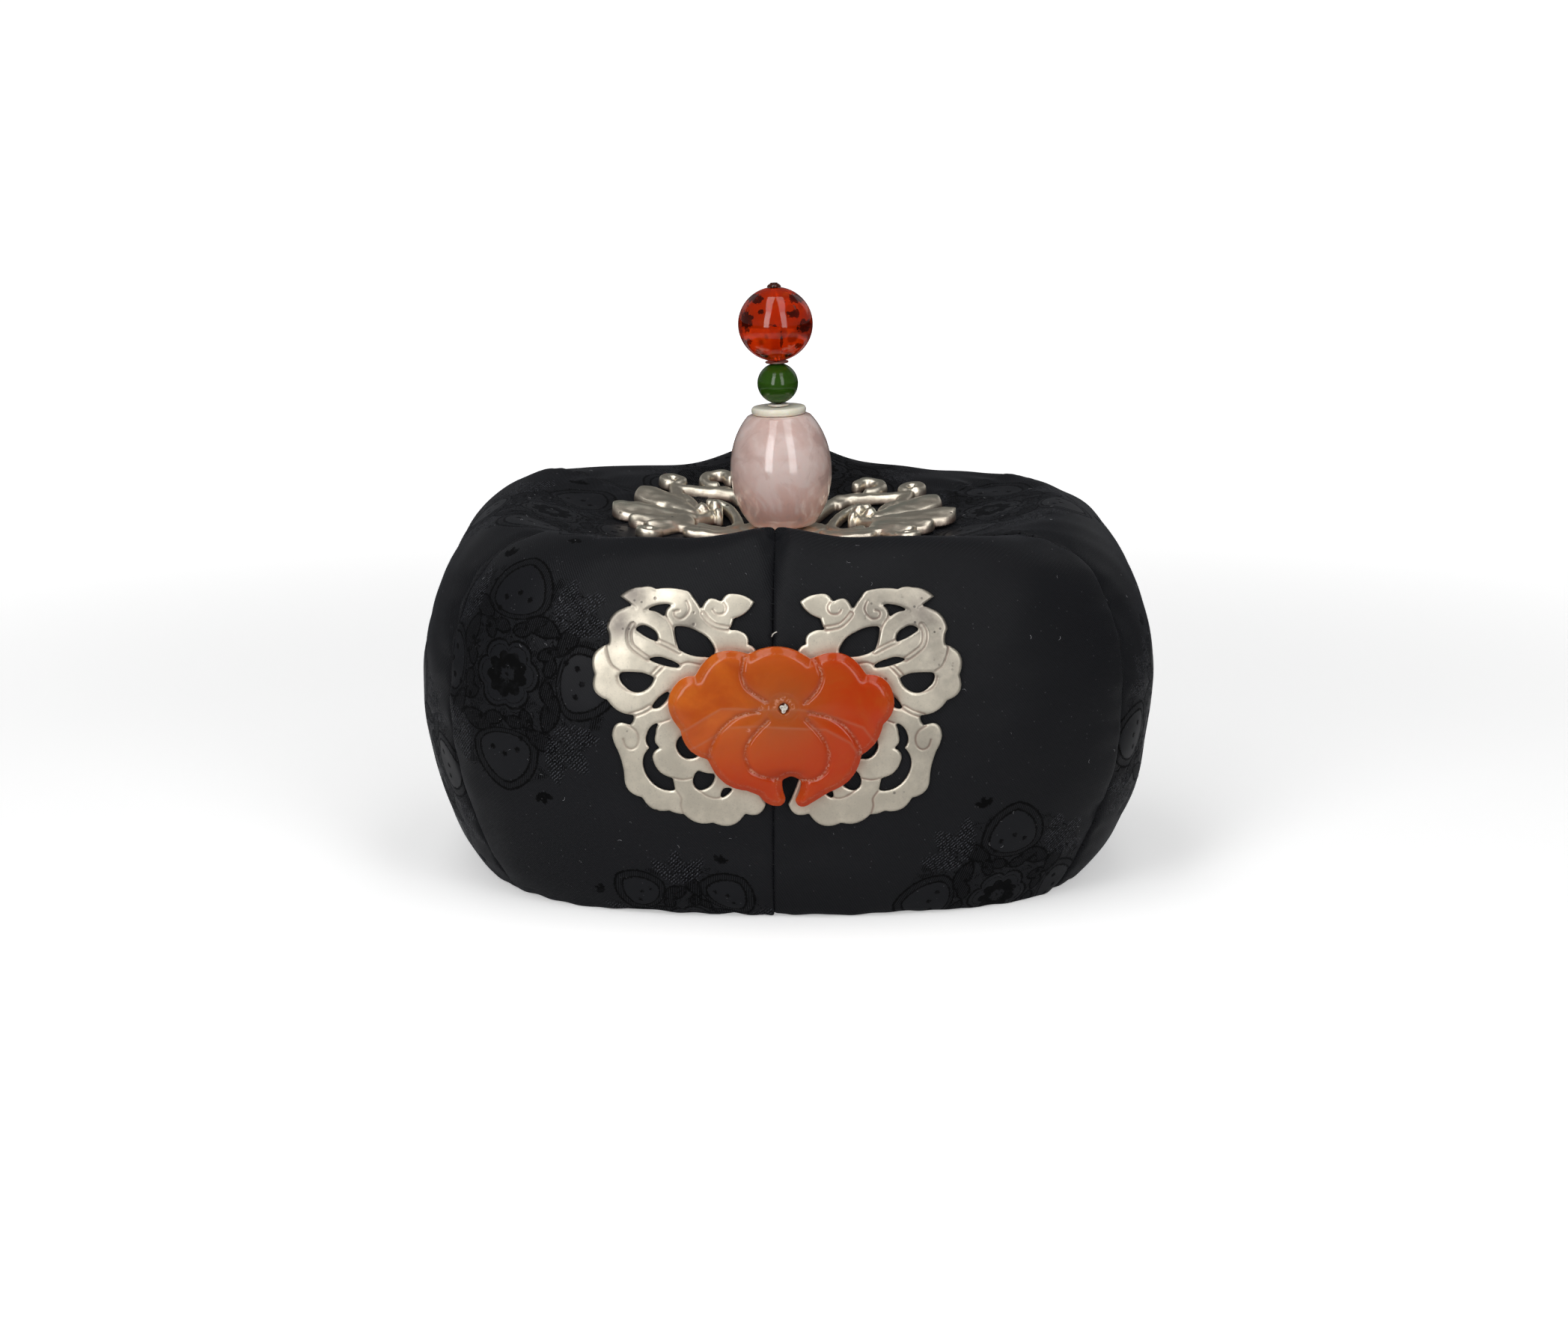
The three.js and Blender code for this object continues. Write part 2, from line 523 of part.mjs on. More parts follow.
// One silk panel with its share of the padding: the wall's closed section, carried from one seam to the next.
function panelGeometry(fromTurn, toTurn) {
  const ring = (LEVELS.length - 1) * STEPS_PER_LEVEL + 1;
  const points = [];
  for (let station = 0; station <= PANEL_STATIONS; station++) {
    const share = 0.5 - 0.5 * Math.cos((Math.PI * station) / PANEL_STATIONS);
    const turn = THREE.MathUtils.lerp(fromTurn, toTurn, share);
    const along = THREE.MathUtils.degToRad(turn);
    const inset = ((station === 0) - (station === PANEL_STATIONS)) * (cap.seamGap / 2);
    const shift = new THREE.Vector3(Math.cos(along), Math.sin(along), 0).multiplyScalar(inset);
    for (let step = 0; step < ring; step++) {
      points.push(wallPoint(step / STEPS_PER_LEVEL, turn).add(shift));
    }
  }
  const triangles = [];
  for (let station = 0; station < PANEL_STATIONS; station++) {
    for (let step = 0; step < ring; step++) {
      const [a, b] = [station * ring + step, station * ring + ((step + 1) % ring)];
      triangles.push([a, a + ring, b + ring], [a, b + ring, b]);
    }
  }
  const section = points.slice(0, ring).map((p) => new THREE.Vector2(Math.hypot(p.x, p.y), p.z));
  const last = PANEL_STATIONS * ring;
  for (const [a, b, c] of facesInOrder(section)) {
    triangles.push([a, b, c], [last + c, last + b, last + a]);
  }
  return closedGeometry(points, triangles);
}

// A front plate, bent to its panel. side is -1 for the left one, as drawn, and 1 for its mirror image.
function plateGeometry(side) {
  const across = (x) => (side < 0 ? x : 2 * plate.middle - x);
  const mirrored = (rows) => {
    return arcLoop(rows, plate.arcStep).map((point) => new THREE.Vector2(across(point.x), point.y));
  };
  const place = (point, skin) => {
    const reach = frontReach(point.x, point.y) + plate.standOff + skin * plate.thick;
    return new THREE.Vector3(point.x, -reach, point.y);
  };
  const holes = Object.values(PLATE_HOLES).map(mirrored);
  return slabGeometry(mirrored(PLATE_OUTLINE), holes, plate.edgeLength, place);
}

// How far the stone's face stands in front of its back, at a spot of it.
function stoneDepth(x, z) {
  const out = (x / stone.reachX) ** 2 + ((z - stone.middleZ) / stone.reachZ) ** 2;
  return stone.edge + stone.swell * Math.max(0, 1 - out);
}

// The carved stone butterfly: the swelling slab, less a tube along each groove and the hole for its knot.
function stoneGeometry() {
  const place = (point, skin) => {
    return new THREE.Vector3(point.x, stone.back - skin * stoneDepth(point.x, point.y), point.y);
  };
  let solid = toSolid(slabGeometry(arcLoop(STONE_OUTLINE, stone.arcStep), [], stone.edgeLength, place));
  const oval = new THREE.EllipseCurve(0, 0, GROOVE.depth, GROOVE.width / 2);
  const section = new THREE.Shape(oval.getPoints(GROOVE.sides));
  for (const path of Object.values(STONE_GROOVES)) {
    const spots = path.map(([x, z]) => new THREE.Vector3(x, stone.back - stoneDepth(x, z), z));
    const extrudePath = new THREE.CatmullRomCurve3(spots);
    const tube = new THREE.ExtrudeGeometry(section, { steps: GROOVE.steps, extrudePath });
    solid = solid.subtract(toSolid(tube));
  }
  const drill = new THREE.CylinderGeometry(stone.holeRadius, stone.holeRadius, 20, 14);
  drill.translate(STONE_HOLE.x, stone.back, STONE_HOLE.z);
  return toGeometry(solid.subtract(toSolid(drill)));
}

// A run of cast metal on the crown plate's plan, flat below and rounded above, from a curve in the plan, its
// width along the curve and its height. sink lets its foot down a little, so that no two runs share a foot.
function runGeometry(curve, widthAt, height, steps, sink) {
  const length = curve.getLength();
  const ends = [0.1, 0.5].map((share) => (share * widthAt(0)) / 2 / length);
  const tails = [0.5, 0.1].map((share) => 1 - (share * widthAt(1)) / 2 / length);
  const body = Array.from({ length: steps - 1 }, (_, index) => {
    return THREE.MathUtils.lerp(0.08, 0.92, index / (steps - 2));
  });
  const otherHalf = RUN_SECTION.slice(0, -1).map(([across, up]) => [-across, up]);
  const section = [...RUN_SECTION, ...otherHalf.reverse()];
  const points = [];
  const stations = [...ends, ...body.filter((t) => t > ends[1] && t < tails[0]), ...tails];
  for (const t of stations) {
    const half = widthAt(t) / 2;
    const fromEnd = Math.min(1, (Math.min(t, 1 - t) * length) / half);
    const round = Math.sqrt(1 - (1 - fromEnd) ** 2);
    const spot = curve.getPointAt(t);
    const heading = curve.getTangentAt(t);
    for (const [across, up] of section) {
      const aside = across * half * round;
      const rise = up === 0 ? -sink : up * height * (0.6 + 0.4 * round);
      points.push(new THREE.Vector3(spot.x - heading.y * aside, spot.y + heading.x * aside, rise));
    }
  }
  const size = section.length;
  const triangles = [];
  for (let station = 0; station + 1 < stations.length; station++) {
    for (let corner = 0; corner < size; corner++) {
      const [a, b] = [station * size + corner, station * size + ((corner + 1) % size)];
      triangles.push([a, a + size, b + size], [a, b + size, b]);
    }
  }
  const last = points.length - size;
  for (let corner = 1; corner + 1 < size; corner++) {
    triangles.push([0, corner, corner + 1], [last, last + corner + 1, last + corner]);
  }
  return closedGeometry(points, triangles);
}

// A run's width at a share of its length, through its first, middle and last width.
const swelling = ([first, middle, last]) => (t) => {
  return t < 0.5 ? THREE.MathUtils.lerp(first, middle, t * 2) : THREE.MathUtils.lerp(middle, last, t * 2 - 1);
};

// A curl's spiral in the plan, from its outer end to its eye.
class Spiral extends THREE.Curve {
  constructor(row) {
    super();
    this.row = row;
  }
  getPoint(t, target = new THREE.Vector2()) {
    const { x, y, radius, from, sweep } = this.row;
    const angle = THREE.MathUtils.degToRad(from + sweep * t);
    const reach = radius * (1 - crown.curlClosing * t);
    return target.set(x + reach * Math.cos(angle), y + reach * Math.sin(angle));
  }
}

// The crown plate: both wings' runs and curls and the disc between them, joined and laid on the cap's crown.
function crownGeometry() {
  const disc = new THREE.CylinderGeometry(crown.middleRadius, crown.middleRadius, crown.middleHeight, 28);
  let solid = toSolid(disc.rotateX(Math.PI / 2).translate(0, 0, crown.middleHeight / 2));
  const runs = [];
  for (const { path, widths, height } of Object.values(WING_RUNS)) {
    const curve = new THREE.SplineCurve(path.map(([x, y]) => new THREE.Vector2(x, y)));
    runs.push({ curve, widthAt: swelling(widths), height, steps: crown.runSteps });
  }
  for (const row of WING_CURLS) {
    const { width, height } = row;
    runs.push({ curve: new Spiral(row), widthAt: () => width, height, steps: crown.curlSteps });
  }
  runs.forEach(({ curve, widthAt, height, steps }, index) => {
    const sink = crown.sinkStep * (1 + (index % crown.sinks));
    for (const side of [1, -1]) {
      const run = runGeometry(curve, widthAt, height, steps, sink);
      const matrix = new THREE.Matrix4().makeScale(side, 1, 1);
      solid = solid.add(toSolid(run.applyMatrix4(matrix)));
    }
  });
  const drill = new THREE.CylinderGeometry(crown.holeRadius, crown.holeRadius, 20, 12).rotateX(Math.PI / 2);
  const geometry = toGeometry(solid.subtract(toSolid(drill)));
  geometry.rotateZ(THREE.MathUtils.degToRad(crown.turn)).translate(finial.x, 0, 0);
  const position = geometry.attributes.position;
  for (let index = 0; index < position.count; index++) {
    const [x, y, up] = [position.getX(index), position.getY(index), position.getZ(index)];
    position.setZ(index, crownHeight(x, y) + crown.standOff + up);
  }
  return geometry;
}

// The outside of a bead from its foot to its top: how far out and how far up, up as a share of its height.
function beadProfile({ shape, radius, endRadius }, rings) {
  if (shape === "disc") return [[endRadius, 0], [radius, 0.25], [radius, 0.75], [endRadius, 1]];
  const endTurn = Math.acos(endRadius / radius);
  return Array.from({ length: rings + 1 }, (_, ring) => {
    const turn = THREE.MathUtils.lerp(-endTurn, endTurn, ring / rings);
    return [radius * Math.cos(turn), 0.5 + (0.5 * Math.sin(turn)) / Math.sin(endTurn)];
  });
}

// A bead drilled through along its own z axis, standing on z = 0.
function beadGeometry(row) {
  const sides = 2 * Math.round((drilled.sidesPerRoot * Math.sqrt(row.radius)) / 2);
  const outside = beadProfile(row, sides / 2 - 2);
  const profile = [[drilled.hole, 0], ...outside, [drilled.hole, 1], [drilled.hole, 0]];
  const points = profile.map(([reach, up]) => new THREE.Vector2(reach, up * row.height));
  return bareGeometry(new THREE.LatheGeometry(points, sides).rotateX(Math.PI / 2));
}

// The knot that holds the stone: a ball of thread in its hole, and the thread behind it down to the silk.
function knotGeometry() {
  const depth = stone.back - stoneDepth(STONE_HOLE.x, STONE_HOLE.z) + knot.sunk;
  const profile = [[0, 0], [knot.stemRadius, 0], [knot.stemRadius, knot.stem]];
  for (let ring = 1; ring < knot.rings; ring++) {
    const angle = (Math.PI * ring) / knot.rings;
    profile.push([knot.radius * Math.sin(angle), knot.stem + knot.radius * (1 - Math.cos(angle))]);
  }
  profile.push([0, knot.stem + 2 * knot.radius]);
  const points = profile.map(([reach, up]) => new THREE.Vector2(reach, up));
  const geometry = bareGeometry(new THREE.LatheGeometry(points, knot.sides).rotateX(Math.PI));
  return geometry.translate(STONE_HOLE.x, depth + knot.stem + knot.radius, STONE_HOLE.z);
}

function addPiece(parent, name, geometry, material) {
  const mesh = new THREE.Mesh(geometry, material);
  mesh.name = name;
  parent.add(mesh);
  return mesh;
}

const coronet = new THREE.Group();
SEAMS.forEach((seam, index) => {
  const toTurn = index + 1 < SEAMS.length ? SEAMS[index + 1].turn : SEAMS[0].turn + 360;
  addPiece(coronet, seam.panel, panelGeometry(seam.turn, toTurn), materials.silk);
});
addPiece(coronet, "front_plate_left", plateGeometry(-1), materials.silver);
addPiece(coronet, "front_plate_right", plateGeometry(1), materials.silver);
addPiece(coronet, "carnelian_butterfly", stoneGeometry(), materials.carnelian);
addPiece(coronet, "butterfly_knot", knotGeometry(), materials.thread);
addPiece(coronet, "crown_plate", crownGeometry(), materials.silver);

const string = new THREE.Group();
string.position.set(finial.x, 0, crownHeight(0, 0) + crown.standOff + crown.middleHeight);
string.rotation.y = -THREE.MathUtils.degToRad(finial.lean);
coronet.add(string);
let level = finial.seatGap;
for (const row of BEADS) {
  addPiece(string, row.bead, beadGeometry(row), materials[row.material]).position.z = level;
  level += row.height + finial.gap;
}
const threadLength = level - finial.gap + finial.threadTop + finial.threadFoot;
const thread = new THREE.CylinderGeometry(finial.threadRadius, finial.threadRadius, threadLength, 8);
const post = addPiece(string, "finial_post", bareGeometry(thread.rotateX(Math.PI / 2)), materials.thread);
post.position.z = threadLength / 2 - finial.threadFoot;

// The origin is the middle of the footprint, on the surface that the coronet stands on.
const middle = new THREE.Box3().setFromObject(coronet).getCenter(new THREE.Vector3());
coronet.position.set(-middle.x, -middle.y, 0);

export default coronet;
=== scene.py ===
import math

import bmesh
import bpy
import numpy as np
from mathutils import Matrix, Vector


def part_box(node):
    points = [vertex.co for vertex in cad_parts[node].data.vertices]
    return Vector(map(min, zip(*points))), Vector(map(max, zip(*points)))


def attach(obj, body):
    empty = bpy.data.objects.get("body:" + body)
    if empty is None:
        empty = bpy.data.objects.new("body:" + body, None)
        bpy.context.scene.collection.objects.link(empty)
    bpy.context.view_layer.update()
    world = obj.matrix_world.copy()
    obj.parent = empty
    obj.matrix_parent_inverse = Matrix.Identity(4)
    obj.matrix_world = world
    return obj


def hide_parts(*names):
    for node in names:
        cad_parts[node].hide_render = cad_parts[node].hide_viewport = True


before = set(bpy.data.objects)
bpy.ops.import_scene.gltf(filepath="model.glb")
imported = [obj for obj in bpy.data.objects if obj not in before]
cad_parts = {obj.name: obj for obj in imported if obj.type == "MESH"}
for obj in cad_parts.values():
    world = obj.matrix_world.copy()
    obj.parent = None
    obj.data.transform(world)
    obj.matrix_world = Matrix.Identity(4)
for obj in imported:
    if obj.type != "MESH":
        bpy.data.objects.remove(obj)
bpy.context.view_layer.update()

bl_info = {
    "name": "Bridal coronet",
    "version": (1, 0, 0),
    "blender": (4, 5, 0),
    "location": "View3D > Sidebar > Coronet",
    "description": "Dresses a padded silk coronet with pierced silver, a carved stone and a strung finial",
    "category": "Object",
}

# Shapes are worked out in millimetres from the middle of the cap, which lies here in the frame.
MM = 0.001
CAP_MIDDLE = np.array([-1.75, 2.883, 0.0])

# The cap's driving sizes and its section, the same as in the part's source.
LEFT_WIDTH = 76.0
RIGHT_WIDTH = 79.5
HALF_DEPTH = 61.0
RIM_HEIGHT = 77.5
LEAN = 1.8
CREASE_SPREAD = 4.0
# One row a level, from the crown's middle over the rim to the hem and up the lining: shares of the width,
# the half depth and the rim's height, the plan's exponent, and the shares of lift, lean and crease.
LEVELS = np.array([
    [0.05, 0.065, 0.88, 2.0, 0.0, 0.1, 0.0],
    [0.24, 0.26, 0.922, 2.0, 0.05, 0.6, 0.2],
    [0.46, 0.5, 0.955, 2.3, 0.4, 1.3, 0.5],
    [0.65, 0.67, 0.99, 2.6, 0.9, 0.5, 0.9],
    [0.76, 0.78, 1.0, 2.9, 1.0, 0.0, 1.0],
    [0.875, 0.9, 0.93, 3.2, 0.6, 0.0, 0.9],
    [0.96, 0.97, 0.78, 3.2, 0.1, 0.0, 0.7],
    [1.0, 1.0, 0.555, 3.1, 0.0, 0.0, 0.6],
    [0.975, 0.98, 0.32, 2.9, 0.0, 0.0, 0.6],
    [0.91, 0.935, 0.12, 2.6, 0.0, 0.0, 0.6],
    [0.845, 0.88, 0.02, 2.5, 0.0, 0.0, 0.3],
    [0.8, 0.83, 0.0, 2.5, 0.0, 0.0, 0.0],
    [0.71, 0.71, 0.0, 2.5, 0.0, 0.0, 0.0],
    [0.66, 0.64, 0.04, 2.4, 0.0, 0.0, 0.0],
    [0.63, 0.6, 0.35, 2.3, 0.0, 0.0, 0.0],
    [0.54, 0.52, 0.6, 2.2, 0.0, 0.0, 0.0],
    [0.28, 0.28, 0.71, 2.0, 0.0, 0.0, 0.0],
    [0.05, 0.065, 0.72, 2.0, 0.0, 0.0, 0.0],
])
RIM = 4.0
SKIRT = 9.0
HEM = 12.0
# The seams: the turn round the cap, how far the seam's peak rises, how far to each side, and the panel that
# starts there.
SEAMS = [
    (-1.5, 2.2, 11.0, "panel_front_right"),
    (60.0, -1.5, 14.0, "panel_side_right"),
    (121.0, 0.8, 16.0, "panel_back_right"),
    (180.0, 7.0, 14.0, "panel_back_left"),
    (239.0, 2.4, 18.0, "panel_side_left"),
    (300.0, -1.5, 14.0, "panel_front_left"),
]
# How the silk lies at each seam: how deep its wide dip is, how deep its sharp valley, and how high it puckers
# as a share of the pucker setting.
SEAM_DIPS = (1.0, 0.7, 1.5, 1.9, 1.4, 0.7)
SEAM_VALLEYS = (0.5, 0.4, 0.7, 0.9, 0.7, 0.4)
SEAM_PUCKERS = (0.8, 0.4, 1.0, 1.0, 1.0, 0.4)
# The notch that each seam pulls into the rim, and how far it runs down.
RIM_NOTCHES = (2.0, 0.5, 0.8, 0.8, 0.8, 0.5)
RIM_NOTCH_LENGTH = 9.0
RIM_NOTCH_WIDTH = 2.0
VALLEY_REACH = 0.35
# The puckers start this far from a seam, fade over this reach, and have wavelengths between these. So do the
# wider and slower folds, which are this high.
PUCKER_START = 0.8
PUCKER_REACH = 3.6
PUCKER_LENGTHS = (4, 12)
FOLD_HEIGHT = 0.3
FOLD_START = 2.5
FOLD_REACH = 9.0
FOLD_LENGTHS = (9, 19)
# Slow waves over the whole cloth: height, wavelength, seed, and whether they only gather the hem.
CLOTH_WAVES = [(0.28, 30, 70, False), (0.09, 11, 80, False), (0.3, 7, 50, True)]
# The panels' mesh is finer beside the seams, and each panel ends a hair short of the seam's middle.
MEAN_RADIUS = 72
SEAM_CROWDING = 0.55
SEAM_INSET = 0.01
SEAM_SEED = 40
LINT_SEED = 11

# A shallow hollow in the crown under the metal plate's left wing: its x and y, its spread both ways, and its
# depth.
CROWN_HOLLOW = (-35.0, -3.0, 13.0, 17.0, 2.0)

# The kinds of figure in the silk's weave.
FIGURES = ("rosette", "petals", "leaves", "feathers", "dots", "roundel")
# The roundels woven into the silk, by panel: how far across the cloth from the panel's middle and down it
# from the crown's middle, the radius, and the turn in degrees.
ROUNDELS = {
    "panel_front_right": [(17, 132, 22, 0), (-12, 24, 20, 30)],
    "panel_side_right": [(2, 42, 22, 15), (-22, 108, 22, 0), (24, 92, 20, 40), (2, 142, 20, 10)],
    "panel_back_right": [(-16, 84, 22, 10), (20, 126, 22, 0), (10, 34, 20, 20)],
    "panel_back_left": [(14, 88, 22, 0), (-22, 122, 22, 30), (-6, 30, 20, 10)],
    "panel_side_left": [(4, 46, 22, 20), (20, 112, 22, 0), (-24, 94, 20, 45), (-4, 144, 20, 0)],
    "panel_front_left": [(-21.5, 83.5, 24, 3), (12, 139, 18, 45), (-14, 32, 18, 20)],
}

# The front plates: the middle that they mirror each other about, their thickness, how far off the silk they
# lie, how far their edges are rounded, and how deep their dents are, which start above a height.
PLATE_MIDDLE = -0.75
PLATE_THICK = 0.7
PLATE_STAND_OFF = 0.35
PLATE_ROUNDING = 0.16
PLATE_DENTS = 0.14
PLATE_FLAT_BELOW = 52
# The width of a chased line, and half the gap between two lines cut side by side.
PLATE_LINE_WIDTH = 0.19
PLATE_BAND_HALF = 0.42
# Their outline and holes as drawn for the left one: x, z and the bow of the arc to the next point.
PLATE_OUTLINE = [
    (-32.3, 67.8, 0.1), (-27.9, 69.6, 0.1), (-25.0, 69.3, 0.05), (-19.5, 69.2, 0.15), (-17.6, 67.9, 0.04),
    (-15.9, 65.4, 0.33), (-12.0, 67.0, 0.2), (-9.2, 68.5, 0.08), (-5.3, 67.0, 0.12), (-9.5, 63.7, 0.1),
    (-10.7, 61.3, 0.1), (-7.7, 61.1, 0.22), (-6.5, 58.6, 0.15), (-4.8, 57.2, -0.12), (-6.0, 45.4, -0.08),
    (-3.0, 25.9, 0.28), (-7.2, 23.8, 0.24), (-13.7, 21.8, 0.16), (-19.6, 23.6, 0.08), (-22.5, 24.3, 0.2),
    (-28.0, 27.0, 0.22), (-31.6, 31.4, -0.04), (-32.9, 36.9, 0.05), (-34.0, 40.0, 0.36), (-30.4, 42.2, -0.15),
    (-29.6, 44.3, 0.14), (-34.9, 47.2, 0.27), (-37.4, 52.3, 0.27), (-34.6, 58.4, -0.1), (-35.0, 61.6, 0.15),
    (-31.6, 65.5, 0.12), (-29.2, 65.7, 0.0),
]
PLATE_HOLES = [
    [(-27.0, 65.2, 0.1), (-21.7, 66.3, -0.2), (-23.2, 63.9, -0.1)],
    [(-21.3, 62.1, 0.08), (-16.4, 61.0, 0.12), (-13.2, 57.5, 0.3), (-15.2, 56.2, 0.08), (-20.4, 57.6, 0.05)],
    [(-29.2, 61.5, 0.2), (-26.2, 61.8, 0.2), (-24.7, 59.1, 0.05)],
    [(-26.6, 55.6, 0.12), (-22.8, 55.7, 0.05), (-20.2, 54.5, 0.25), (-21.0, 54.0, 0.05)],
    [(-32.4, 52.0, 0.25), (-31.7, 52.9, 0.02), (-28.2, 52.9, 0.06), (-25.4, 51.9, 0.12), (-28.0, 49.0, 0.16),
     (-31.2, 50.0, 0.1)],
    [(-26.0, 45.8, 0.1), (-22.3, 49.3, 0.1), (-24.0, 46.3, 0.15)],
    [(-24.3, 42.9, 0.15), (-26.9, 40.5, 0.15), (-26.4, 37.6, 0.1), (-27.8, 34.5, 0.1), (-25.5, 29.8, 0.12),
     (-21.3, 28.7, 0.0), (-21.8, 31.3, -0.15), (-25.6, 34.5, -0.25), (-24.3, 37.6, -0.2),
     (-25.2, 40.4, -0.1)],
    [(-20.1, 40.1, 0.2), (-20.5, 36.7, 0.2), (-17.4, 35.6, 0.2), (-16.1, 37.9, 0.25)],
    [(-17.6, 31.3, 0.1), (-16.6, 32.9, -0.05), (-13.3, 32.2, 0.2), (-16.3, 28.7, 0.2)],
    [(-11.6, 29.1, 0.1), (-9.8, 29.1, 0.1), (-12.1, 27.1, 0.1)],
]
# The chased lines of the left plate, single ones and those cut as two lines side by side.
PLATE_LINES = [
    [(-18.8, 67.0), (-18.3, 65.7), (-18.9, 64.4), (-20.0, 63.6), (-21.2, 64.0), (-21.4, 65.0),
     (-20.4, 65.3)],
    [(-11.45, 66.9), (-10.9, 66.1), (-11.1, 65.1), (-11.9, 64.6), (-13.0, 64.7), (-13.6, 65.4)],
    [(-23.3, 64.2), (-22.15, 62.75), (-21.3, 60.8), (-20.9, 58.0)],
    [(-20.1, 54.6), (-18.6, 55.1), (-16.1, 54.6)],
    [(-35.2, 58.2), (-34.8, 56.2), (-33.9, 54.2), (-32.5, 53.2)],
    [(-32.9, 52.0), (-32.5, 50.5), (-31.1, 49.3), (-28.8, 48.9)],
    [(-24.3, 42.85), (-22.4, 43.55)],
    [(-30.8, 42.1), (-29.3, 41.2), (-28.6, 39.6), (-29.0, 37.9), (-30.1, 37.2), (-31.25, 37.8),
     (-31.75, 39.3)],
    [(-21.6, 31.3), (-19.7, 31.0), (-17.8, 31.35)],
    [(-21.1, 28.5), (-20.1, 27.0), (-20.2, 25.4), (-19.7, 23.6)],
    [(-16.4, 28.7), (-14.9, 27.6), (-13.2, 27.1), (-11.8, 27.4)],
]
PLATE_BANDS = [
    [(-15.6, 64.65), (-14.6, 63.4), (-13.1, 62.3), (-10.6, 61.8)],
    [(-24.75, 59.2), (-22.8, 58.4), (-20.4, 57.2)],
    [(-29.6, 62.3), (-30.4, 60.8), (-30.1, 58.5), (-28.55, 57.0), (-26.6, 55.7)],
    [(-23.8, 54.4), (-25.8, 52.3)],
    [(-30.2, 44.25), (-28.05, 44.95), (-26.2, 46.0)],
]
# Where each plate is tarnished, in the left one's drawing: x, z, radius and strength. -1 is the left plate.
PLATE_TARNISH = {
    -1: [(-32.4, 62.5, 4.0, 0.9), (-29.5, 68.4, 3.8, 0.9), (-18.2, 61.6, 3.4, 0.8), (-24.5, 64.6, 2.4, 0.5)],
    1: [(-30, 63.5, 8.0, 0.8), (-20, 66, 6.0, 0.6), (-34, 54, 6.0, 0.55), (-30, 38, 6.0, 0.25)],
}

# The carved stone: its outline, grooves, facet lines and the hole that its knot sits in.
STONE_BACK = -62.6
STONE_EDGE = 2.0
STONE_SWELL = 1.2
STONE_REACH = (24.0, 18.0)
STONE_MIDDLE_Z = 43.5
STONE_HOLE = (0.6, 46.6)
STONE_HOLE_RADIUS = 1.2
# A shallow dish round the hole, a rim inside the edge, and the width of the carved grooves.
STONE_DISH = 3.0
STONE_RIM = 1.15
STONE_GROOVE_WIDTH = 0.34
STONE_SLAB = 2.0
STONE_OUTLINE = [
    (-6.5, 57.3, 0.16), (6.0, 56.3, 0.24), (17.1, 53.1, 0.2), (22.5, 49.2, 0.16), (20.5, 43.0, 0.12),
    (16.2, 36.7, 0.15), (9.9, 29.1, 0.0), (5.2, 26.1, 0.28), (2.9, 27.4, -0.06), (4.1, 31.2, -0.25),
    (0.3, 31.5, -0.06), (1.0, 27.8, 0.25), (-1.1, 26.1, 0.12), (-4.3, 28.3, 0.0), (-6.8, 29.3, 0.14),
    (-13.8, 34.0, 0.0), (-14.7, 35.8, 0.17), (-20.1, 41.8, 0.0), (-21.3, 43.4, 0.2), (-20.4, 51.8, 0.1),
    (-17.1, 52.8, 0.23),
]
STONE_GROOVES = [
    [(-2.8, 47.9), (-6.6, 50.6), (-7.7, 53.6), (-7.3, 56.6)],
    [(5.0, 47.8), (7.4, 50.4), (8.2, 53.6), (6.6, 56.6)],
    [(-4.4, 46.0), (-8.7, 44.9), (-11.9, 42.3), (-13.7, 39.0), (-14.5, 36.2)],
    [(5.9, 45.7), (10.3, 44.5), (13.4, 42.3), (15.6, 39.0), (16.1, 36.9)],
    [(-2.6, 44.1), (-5.5, 41.0), (-7.1, 37.8), (-6.2, 34.2), (-3.9, 32.6), (-0.5, 31.9)],
    [(5.2, 44.3), (8.1, 41.0), (9.6, 37.8), (9.3, 34.2), (7.1, 32.0), (4.1, 31.6)],
]
STONE_FACETS = [
    [(-18.2, 37.9), (-10.3, 42.7), (-4.9, 43.0), (9.0, 42.3), (14.0, 39.5), (16.1, 36.2)],
    [(-19.7, 41.7), (-11.9, 46.6), (-4.3, 46.4), (3.9, 46.4), (8.6, 45.6), (16.5, 42.7), (19.1, 39.2)],
]
# Where its carving has bright chips.
STONE_CHIPS = [(-4.6, 45.9), (-4.1, 46.5), (-3.7, 46.9), (-0.8, 48.3), (0.2, 48.6), (-6.4, 42.2), (0.9, 48.7)]

# The crown plate: its turn on the crown in degrees, how far off the silk it lies, the size of its middle
# disc, and how much of a curl's radius its spiral closes.
CROWN_TURN = -5.0
CROWN_STAND_OFF = 0.4
CROWN_MIDDLE_RADIUS = 9.0
CROWN_MIDDLE_HEIGHT = 1.7
CURL_CLOSING = 0.42
